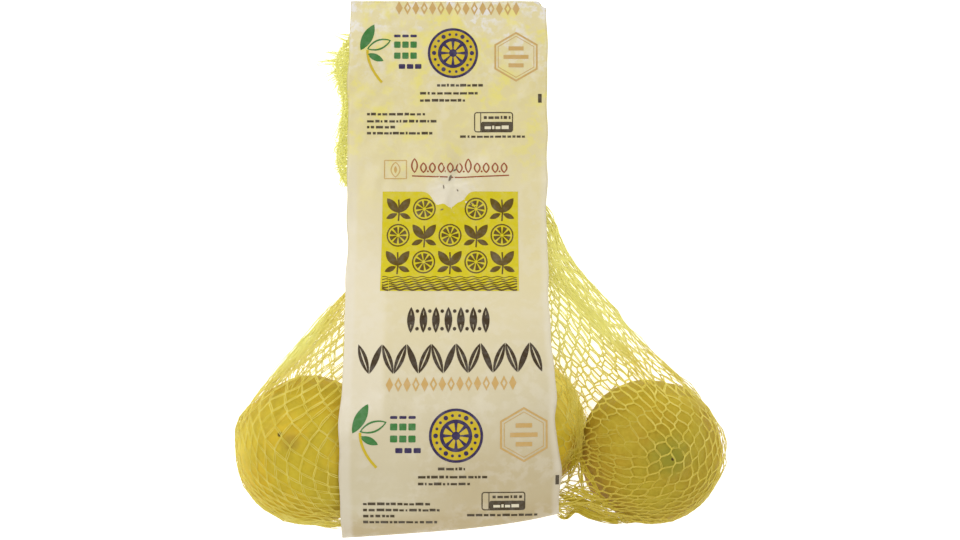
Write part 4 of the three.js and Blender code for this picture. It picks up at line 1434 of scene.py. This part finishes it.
class LEMON_NET_OT_add_fruit(bpy.types.Operator):
    """Add the three lemons with their nipples, stem buttons and marks"""

    bl_idname = "lemon_net.add_fruit"
    bl_label = "Add fruit"

    def execute(self, context):
        settings = context.scene.lemon_net_fruit
        tips = {
            name: form.at + form.axis * (form.rind(0.0) + form.bulge(form.axis) + RIND_GROWN)
            for name, form in LEMON_FORMS.items()
        }
        spots = {
            "left": [
                # Painted shade on the left lemon's lower right side, away from the light.
                ((-60, -98, 50), 6, 30, settings.dull_rind_color, 0.75),
                # Painted light on the left lemon's left side, towards the light.
                ((-106, -78, 40), 6, 32, settings.light_rind_color, 0.5),
                # Painted shade that the left lemon's nipple casts to its lower right.
                (tips["left"] + (3.4, -2.8, -1.5), 1.5, 6.0, settings.shade_color, 0.55),
                (tips["left"] + (-1.4, 0.7, 0.0), 1.3, 2.0, settings.stain_color, 1.0),
            ],
            "middle": [
                # Painted light on the middle lemon's upper side, to make up for the film's shade over it.
                ((36, -50, 38), 12, 33, settings.light_rind_color, 0.95),
                # Painted shade on the middle lemon's lower right, in the gap beside the right lemon.
                ((38, -87, 36), 10, 20, settings.brown_shade_color, 0.9),
                # Painted shade at the middle lemon's tip.
                (tips["middle"], 0.8, 2.2, settings.shade_color, 0.8),
            ],
            "right": [
                # Painted shade on the right lemon's lower left side.
                ((52, -101, 36), 10, 30, settings.brown_shade_color, 1.0),
                # Painted shade in the crevice between the middle and right lemons.
                ((48, -84, 46), 5, 19, settings.brown_shade_color, 0.35),
                # Painted light on the right lemon's upper side, in the left lemon's rind colour.
                ((78, -56, 46), 8, 26, settings.rind_color, 0.6),
                ((105, -86, 36), 6, 24, settings.warm_rind_color, 0.5),
                (tips["right"] + (-0.5, 1.2, 0.0), 1.0, 16.0, settings.green_color, 0.8),
                (tips["right"], 0.4, 1.0, settings.stain_color, 1.0),
            ],
        }
        colors = {
            "left": (settings.rind_color, settings.warm_rind_color),
            # The middle lemon's rind is painted lighter against the film's shade.
            "middle": (settings.bright_rind_color, settings.warm_rind_color),
            "right": (settings.dull_rind_color, settings.dull_warm_rind_color),
        }
        for seed, (name, form) in enumerate(LEMON_FORMS.items()):
            main, warm = colors[name]
            material = rind_material(name, settings, main, warm, spots[name])
            piece = self.add_lemon(name, form, material, 31 + seed)
            dress(piece, "rind", "net_bag")
        return {"FINISHED"}

    def add_lemon(self, name, form, material, seed, rings=92, sectors=140):
        angle = np.linspace(0, np.pi, rings + 1)[1:-1]
        around = 2 * np.pi * np.arange(sectors) / sectors
        across = unit(np.cross(form.axis, (0.3, 0.9, 0.1)))
        other = np.cross(form.axis, across)

        def skin(tilt, turn):
            ring = np.cos(turn)[..., None] * across + np.sin(turn)[..., None] * other
            way = np.cos(tilt)[..., None] * form.axis + np.sin(tilt)[..., None] * ring
            end = np.pi - tilt
            waves = sum(
                wander(way * form.round, length, seed + 9 * k)[..., k] * height
                for k, (length, height) in enumerate(RIND_WAVES)
            )
            furrow = hump(tilt, *FURROW) * (0.75 + 0.25 * np.cos(turn + 1))
            tip_folds = hump(tilt, *TIP_FOLDS) * np.cos(9 * turn + 2 * np.sin(3 * turn))
            stem_folds = hump(end, *STEM_FOLDS) * np.cos(8 * turn + np.sin(2 * turn))
            far = form.rind(tilt) + form.bulge(way) + RIND_GROWN - RIND_SINK + np.clip(waves, *RIND_RANGE)
            far = far - furrow + tip_folds * np.sin(tilt) ** 0.2 + stem_folds - hump(end, *STEM_HOLLOW)
            return np.maximum(form.at + way * far[..., None], (-np.inf, -np.inf, LOWEST_RIND))

        body = skin(*np.meshgrid(angle, around, indexing="ij")).reshape(-1, 3)
        poles = [skin(np.array([end]), np.array([0.0])) for end in (0.001, np.pi - 0.001)]
        index = np.arange(len(body)).reshape(len(angle), sectors)
        first, last = np.full(sectors, len(body)), np.full(sectors, len(body) + 1)
        caps = [
            np.column_stack([first, index[0], np.roll(index[0], -1)]),
            np.column_stack([last, np.roll(index[-1], -1), index[-1]]),
        ]
        shell = Shell()
        shell.add(np.concatenate([body, *poles]), ring_quads(index), np.concatenate(caps))
        self.add_button(shell, form, across, other)
        return shell.piece("lemon_" + name, [material])

    def add_button(self, shell, form, across, other, sides=24):
        """The dry button where the stem was, in its hollow."""
        turn = 2 * np.pi * np.arange(sides) / sides
        ring = np.cos(turn)[:, None] * across + np.sin(turn)[:, None] * other
        rings = []
        for radius, up in STEM_BUTTON:
            wide = radius * (1 + 0.12 * np.cos(5 * turn))
            rings.append(form.at - form.axis * (form.rind(np.pi) + up) + wide[:, None] * ring)
        points = np.concatenate(rings)
        index = np.arange(len(points)).reshape(len(STEM_BUTTON), sides)
        shell.add(points, np.roll(ring_quads(index), -1, axis=1), index[-1:], index[:1, ::-1])


class LEMON_NET_OT_add_net(bpy.types.Operator):
    """Add the knitted net: strands of two yarns, joints and the frayed loose end"""

    bl_idname = "lemon_net.add_net"
    bl_label = "Add net"

    def execute(self, context):
        settings = context.scene.lemon_net_yarn
        bunched = settings.shaded_bunched_yarn_color
        plain = yarn_material(
            "Net yarn", settings.yarn_color, settings.pale_yarn_color, settings.yarn_opacity,
            settings.yarn_glow, [
                # Painted light on the free net, where the floor shines through the yarn.
                ((-66, 72, 4), 38, 52, settings.backlit_yarn_color, 0.9),
                ((44, -2, 14), 34, 62, settings.backlit_yarn_color, 0.65),
                ((-84, -40, 18), 14, 34, settings.backlit_yarn_color, 0.8),
                ((66, -96, 50), 20, 42, settings.dull_yarn_color, 0.7),
                # Painted shade on the gathered net at its lower edge.
                ((52, -108, 18), 9, 24, bunched, 0.7),
            ],
        )
        # A shaded copy of the yarn for the bunched yarns.
        shaded_yarn = yarn_material(
            "Bunched yarn", bunched, settings.pale_bunched_color, settings.bunched_opacity,
            settings.yarn_glow,
        )
        knots = net_knots()
        ahead, out = net_frames(knots)
        slack = smooth(knots[..., 0], -20, 45)
        reach = lerp(*JOINT_REACH, slack)[..., None]
        rng = np.random.default_rng(8)
        shells = {}
        for row in range(len(knots) - 1):
            left, right = neighbours(row)
            for shift in (left, right):
                self.add_strands(shells, settings, rng, row, shift, knots, ahead, out, reach, slack)
        self.add_joints(shells, settings, rng, knots, ahead, out, reach)
        self.add_fringe(shells["loose_end"], settings, rng, knots[-1], ahead[-1], out[-1])
        upper = knots[:NET_FRUIT_ROWS][out[:NET_FRUIT_ROWS, :, 2] > 0.05]
        shells["bunched"] = Shell()
        for name, line, spread, count in BUNDLES:
            thickness = BUNCHED_THICKER if name == "bunched" else 1.0
            self.add_bundle(shells[name], settings, rng, upper, line, spread, count, thickness)
        for name, shell in shells.items():
            dress(shell.piece("net_" + name, [shaded_yarn if name == "bunched" else plain]), "net", "net_bag")
        return {"FINISHED"}

    def part_of(self, row, middle, out):
        """The name of the net's part that each strand or joint belongs to."""
        if row >= NET_FRUIT_ROWS:
            return np.full(len(middle), "loose_end")
        level = np.where(out[:, 2] > 0, "top", "under")
        side = np.where(middle[:, 0] < 5, "_left", "_right")
        return np.char.add(level, side)

    def add_strands(self, shells, settings, rng, row, shift, knots, ahead, out, reach, slack):
        lower, upper = knots[row], np.roll(knots[row + 1], shift, axis=0)
        way_low, way_high = ahead[row], np.roll(ahead[row + 1], shift, axis=0)
        out_low, out_high = out[row], np.roll(out[row + 1], shift, axis=0)
        reach_high = np.roll(reach[row + 1], shift, axis=0)
        starts, ends = lower + way_low * reach[row], upper - way_high * reach_high
        bow = rng.normal(size=len(lower)) * lerp(*BOW, slack[row])
        half = settings.yarn_width / MM / 2
        apart = half * rng.uniform(0.85, 1.5, len(lower)) * lerp(*YARNS_APART, slack[row])
        middle = (lower + upper) / 2
        x, y = middle[:, 0], middle[:, 1]
        thicker = THICKER_LEFT * smooth(x, -55, -65) + THICKER_RIGHT * smooth(x, 28, 36)
        thicker = thicker * smooth(y, -72, -52)
        width = (half * rng.uniform(*UNEVEN_WIDTH, len(lower)) * (1 + thicker))[:, None]
        names = self.part_of(row, middle, unit(out_low + out_high))
        for name in sorted(set(names)):
            chosen = names == name
            segments = STRAND_SEGMENTS[name.split("_")[0]]
            t = np.linspace(0, 1, segments + 1)
            curl = lerp(*CURL, slack[row][chosen])
            paths = strand_paths(
                starts[chosen], ends[chosen], way_low[chosen], way_high[chosen], curl, segments
            )
            outs = unit(lerp(out_low[chosen][:, None], out_high[chosen][:, None], t[None, :, None]))
            across = unit(np.cross(unit(np.gradient(paths, axis=1)), outs))
            paths = paths + across * (bow[chosen][:, None] * np.sin(np.pi * t))[..., None]
            paths = keep_between(push_out(paths, YARN_GAP - 0.05)[0], LOWEST_YARN)
            beside = (apart[chosen][:, None] * (0.7 + 0.5 * np.sin(np.pi * t)))[..., None] * across
            shell = shells.setdefault(str(name), Shell())
            for way in (-1, 1):
                shell.add(*tubes(paths + way * beside, outs, width[chosen], half * 0.8, capped=False))

    def add_joints(self, shells, settings, rng, knots, ahead, out, reach):
        half = settings.joint_width / MM / 2
        share, waist = np.array([-1.0, 0.0, 1.0]), np.array([0.62, 1.0, 0.62])
        for row in range(len(knots)):
            middle, way = knots[row], ahead[row]
            long = reach[row] * 1.25 + 0.12
            paths = middle[:, None] + way[:, None] * (long * share)[..., None]
            outs = np.repeat(out[row][:, None], 3, axis=1)
            width = half * rng.uniform(*UNEVEN_WIDTH, len(middle))[:, None] * waist
            names = self.part_of(row, middle, out[row])
            for name in sorted(set(names)):
                chosen = names == name
                wide = width[chosen]
                shells[str(name)].add(*tubes(paths[chosen], outs[chosen], wide, wide * 0.72))

    def add_fringe(self, shell, settings, rng, knots, ahead, out):
        """The loose end: yarns that run along it, short cut ends and a few long strays."""
        half = settings.yarn_width / MM / 2
        self.add_edge_yarns(shell, half, rng)
        for _ in range(3):
            self.add_cut_ends(shell, half, rng, knots, ahead, out)
        for stray in STRAYS:
            self.add_strays(shell, half, rng, *stray)

    def add_edge_yarns(self, shell, half, rng):
        low, high = FRINGE[0][0], FRINGE[-1][0] - 9
        share = np.linspace(0, 1, 22)
        start = rng.uniform(low, high, FRINGE_YARNS)
        length = rng.uniform(14, 34, FRINGE_YARNS) * rng.choice((-1, 1), FRINGE_YARNS)
        y = np.clip(start[:, None] + length[:, None] * share, low, high)
        inward = rng.gamma(2.0, 1.1, FRINGE_YARNS)[:, None]
        level = rng.uniform(0.6, 8.5, FRINGE_YARNS)[:, None]
        x = along(FRINGE, y) + along(FRINGE_DRAWN_IN, y) + inward
        paths = np.stack([x, y, level + 0 * y], -1)
        paths = paths + wander(paths * (1, 1, 3), 9, 41) * (1.1, 0.6, 0.8)
        wide = half * rng.uniform(0.8, 1.2, FRINGE_YARNS)[:, None]
        shell.add(*lying_tubes(keep_between(paths, LOWEST_YARN), wide))

    def add_cut_ends(self, shell, half, rng, knots, ahead, out):
        share = np.linspace(0, 1, 6)
        picked = rng.random(len(knots)) < 0.8
        start = knots[picked] + rng.normal(size=(picked.sum(), 3)) * (0.8, 1.0, 0.5)
        length = rng.gamma(2.0, 0.6, len(start))[:, None]
        way = unit(ahead[picked] + rng.normal(size=start.shape) * (0.5, 1.2, 0.3))
        bend = rng.normal(size=start.shape) * length * 0.3
        paths = start[:, None] + way[:, None] * (length * share)[..., None]
        paths = paths + bend[:, None] * (share**2)[None, :, None]
        paths[..., 2] = np.clip(paths[..., 2], LOWEST_YARN, start[:, 2:] + 1.5)
        outs = np.repeat(out[picked][:, None], len(share), axis=1)
        wide = half * lerp(1.0, 0.45, share)
        shell.add(*tubes(paths, outs, wide, wide))

    def add_strays(self, shell, half, rng, y, turn, length, count):
        """A few yarns that reach out of the loose end near one place."""
        share = np.linspace(0, 1, 9)
        way = np.radians(turn + rng.normal(size=count) * 7)
        length = length * rng.uniform(0.6, 1.0, count)
        curl = rng.normal(size=count) * 0.12 * length
        x = along(FRINGE, y) + along(FRINGE_DRAWN_IN, y) + 1.5 * rng.random(count)
        ahead = np.stack([np.cos(way), np.sin(way)], -1)
        side = np.stack([-ahead[:, 1], ahead[:, 0]], -1)
        start = np.stack([x, y + rng.normal(size=count) * 1.2], -1)
        plan = start[:, None] + ahead[:, None] * (length[:, None] * share)[..., None]
        plan = plan + side[:, None] * (curl[:, None] * share**2)[..., None]
        level = rng.uniform(1.5, 6, count)[:, None] * np.ones(len(share))
        paths = np.concatenate([plan, level[..., None]], -1)
        shell.add(*lying_tubes(paths, half * lerp(1.8, 1.0, share)))

    def add_bundle(self, shell, settings, rng, upper, line, spread, count, thickness):
        """Yarns that lie close together along a line on the upper side of the net."""
        t = np.linspace(0, 1, 14)
        share = lerp(rng.uniform(0, 0.3, (count, 1)), rng.uniform(0.7, 1, (count, 1)), t)
        stations = np.linspace(0, 1, len(line))
        route = np.stack([along(list(zip(stations, values)), share) for values in zip(*line)], -1)
        ahead = unit(np.gradient(route, axis=1))
        side = np.stack([-ahead[..., 1], ahead[..., 0]], -1)
        off = np.clip(rng.normal(size=(count, 1)), -1.6, 1.6) * spread * (0.6 + 0.4 * np.sin(np.pi * share))
        swing = rng.uniform(-1, 1, (count, 1)) * spread * 0.6 * np.sin(
            2 * np.pi * (t * rng.uniform(0.6, 1.6, (count, 1)) + rng.random((count, 1)))
        )
        plan = route + side * (off + swing)[..., None]
        gap = np.linalg.norm(plan[:, :, None] - upper[None, None, :, :2], axis=-1)
        weight = np.exp(-((gap / 2.5) ** 2)) + 1e-6
        level = (weight * upper[:, 2]).sum(axis=-1) / weight.sum(axis=-1)
        paths = np.concatenate([plan, (level + rng.uniform(-0.6, 0.4, (count, 1)))[..., None]], -1)
        paths = keep_between(push_out(paths, YARN_GAP)[0], LOWEST_YARN)
        half = settings.yarn_width / MM / 2 * thickness
        wide = half * rng.uniform(0.8, 1.25, count)[:, None] * np.clip(0.3 + 6 * np.minimum(t, 1 - t), 0, 1)
        shell.add(*lying_tubes(paths, wide))


class LEMON_NET_OT_add_film(bpy.types.Operator):
    """Add the film band over the net"""

    bl_idname = "lemon_net.add_film"
    bl_label = "Add film"

    def execute(self, context):
        u, v = np.meshgrid(np.linspace(0, 1, FILM_COLUMNS + 1), np.linspace(0, 1, FILM_ROWS + 1))
        top = FILM_TOP - TOP_STEP * smooth(u, *TOP_STEP_ACROSS)
        y = lerp(film_bottom(lerp(FILM_LEFT, FILM_RIGHT_BOTTOM, u)), top, v)
        x = lerp(FILM_LEFT, film_right(y), u)
        flat = np.stack([x, y, 0 * x], -1)
        x = x + EDGE_STRAY * wander(flat, EDGE_STRAY_LENGTH, 17)[..., 0] * np.abs(2 * u - 1) ** 8
        x = x + along(RIGHT_EDGE_WAVE, y) * smooth(u, 0.88, 1)
        x = x + along(LEFT_EDGE_WAVE, y) * smooth(u, 0.12, 0)
        middle = np.stack([x, y, film_middle(x, y)], -1).reshape(-1, 3)
        lift = np.array([0, 0, FILM_SHEET / 2])
        points = np.concatenate([middle + lift, middle - lift])
        index = np.arange(len(middle)).reshape(u.shape)
        corners = [index[:-1, :-1], index[:-1, 1:], index[1:, 1:], index[1:, :-1]]
        quads = np.stack(corners, -1).reshape(-1, 4)
        rim = np.concatenate([index[0, :-1], index[:-1, -1], index[-1, :0:-1], index[:0:-1, 0]])
        after, below = np.roll(rim, -1), len(middle)
        faces = np.concatenate([
            quads, quads[:, ::-1] + below, np.column_stack([rim, rim + below, after + below, after]),
        ])
        uv = np.tile(np.column_stack([u.ravel(), v.ravel()]), (2, 1))
        film = add_mesh("film_band", points, faces, [film_material(context.scene.lemon_net_film)], uv=uv)
        dress(film, "film", "label_band")
        return {"FINISHED"}


class LEMON_NET_OT_add_print(bpy.types.Operator):
    """Add the printed fields and ornaments on the film"""

    bl_idname = "lemon_net.add_print"
    bl_label = "Add print"

    def execute(self, context):
        settings = context.scene.lemon_net_print
        sheet = draw_print()
        for ink in sheet.inks:
            piece = sheet.lay(ink, ink_material(ink, getattr(settings, ink)))
            dress(piece, "film")
        return {"FINISHED"}


class LEMON_NET_OT_add_stage(bpy.types.Operator):
    """Add the floor, the lights and the camera over the net"""

    bl_idname = "lemon_net.add_stage"
    bl_label = "Add stage"

    def execute(self, context):
        settings = context.scene.lemon_net_stage
        low, high, level = -FLOOR_HALF, FLOOR_HALF, FLOOR_LEVEL
        corners = [(low, low, level), (high, low, level), (high, high, level), (low, high, level)]
        material, _, shader, _ = new_material("Floor")
        set_values(shader, Base_Color=opaque(settings.floor_color), Roughness=0.9, Specular_IOR_Level=0.1)
        set_values(shader, Emission_Color=(1, 1, 1, 1), Emission_Strength=settings.floor_glow)
        floor = add_mesh("floor", np.array(corners), np.array([[0, 1, 2, 3]]), [material])

        self.add_light("Key", (-0.55, 0.45, 1.05), 0.9, settings.key_power)
        self.add_light("Fill", (0.75, -0.35, 0.9), 1.2, settings.fill_power)

        world = bpy.data.worlds.new("Room")
        context.scene.world = world
        world.use_nodes = True
        background = world.node_tree.nodes["Background"]
        background.inputs["Color"].default_value = (1, 1, 1, 1)
        background.inputs["Strength"].default_value = settings.room_light
        context.scene.view_settings.view_transform = "Standard"

        camera = bpy.data.objects.new("camera", bpy.data.cameras.new("camera"))
        context.scene.collection.objects.link(camera)
        camera.location = (*CAMERA_PLACE, settings.camera_height)
        camera.rotation_euler = (0, 0, 0)
        camera.data.sensor_fit = "HORIZONTAL"
        camera.data.sensor_width = 36
        camera.data.lens = CAMERA_LENS
        camera.data.clip_start, camera.data.clip_end = 0.01, 20
        context.scene.camera = camera
        return {"FINISHED"}

    def add_light(self, name, place, size, power):
        data = bpy.data.lights.new(name, "AREA")
        data.shape, data.size, data.energy = "SQUARE", size, power
        light = bpy.data.objects.new(name, data)
        bpy.context.scene.collection.objects.link(light)
        light.location = place
        light.rotation_euler = (Vector((0, 0, 0.03)) - Vector(place)).to_track_quat("-Z", "Y").to_euler()


STEPS = (
    ("fruit", LEMON_NET_OT_add_fruit, LemonNetFruitSettings),
    ("yarn", LEMON_NET_OT_add_net, LemonNetYarnSettings),
    ("film", LEMON_NET_OT_add_film, LemonNetFilmSettings),
    ("print", LEMON_NET_OT_add_print, LemonNetPrintSettings),
    ("stage", LEMON_NET_OT_add_stage, LemonNetStageSettings),
)


class LEMON_NET_PT_panel(bpy.types.Panel):
    """Lists the pieces and their settings"""

    bl_idname = "LEMON_NET_PT_panel"
    bl_label = "Net of lemons"
    bl_space_type = "VIEW_3D"
    bl_region_type = "UI"
    bl_category = "Net of lemons"

    def draw(self, context):
        for name, operator, settings in STEPS:
            box = self.layout.box()
            for setting in settings.__annotations__:
                box.prop(getattr(context.scene, "lemon_net_" + name), setting)
            box.operator(operator.bl_idname)


def register():
    for name, operator, settings in STEPS:
        bpy.utils.register_class(settings)
        bpy.utils.register_class(operator)
        setattr(bpy.types.Scene, "lemon_net_" + name, bpy.props.PointerProperty(type=settings))
    bpy.utils.register_class(LEMON_NET_PT_panel)


def unregister():
    bpy.utils.unregister_class(LEMON_NET_PT_panel)
    for name, operator, settings in reversed(STEPS):
        delattr(bpy.types.Scene, "lemon_net_" + name)
        bpy.utils.unregister_class(operator)
        bpy.utils.unregister_class(settings)


def main():
    register()
    bpy.ops.lemon_net.add_fruit()
    bpy.ops.lemon_net.add_net()
    bpy.ops.lemon_net.add_film()
    bpy.ops.lemon_net.add_print()
    bpy.ops.lemon_net.add_stage()
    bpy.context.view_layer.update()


if __name__ == "__main__":
    main()
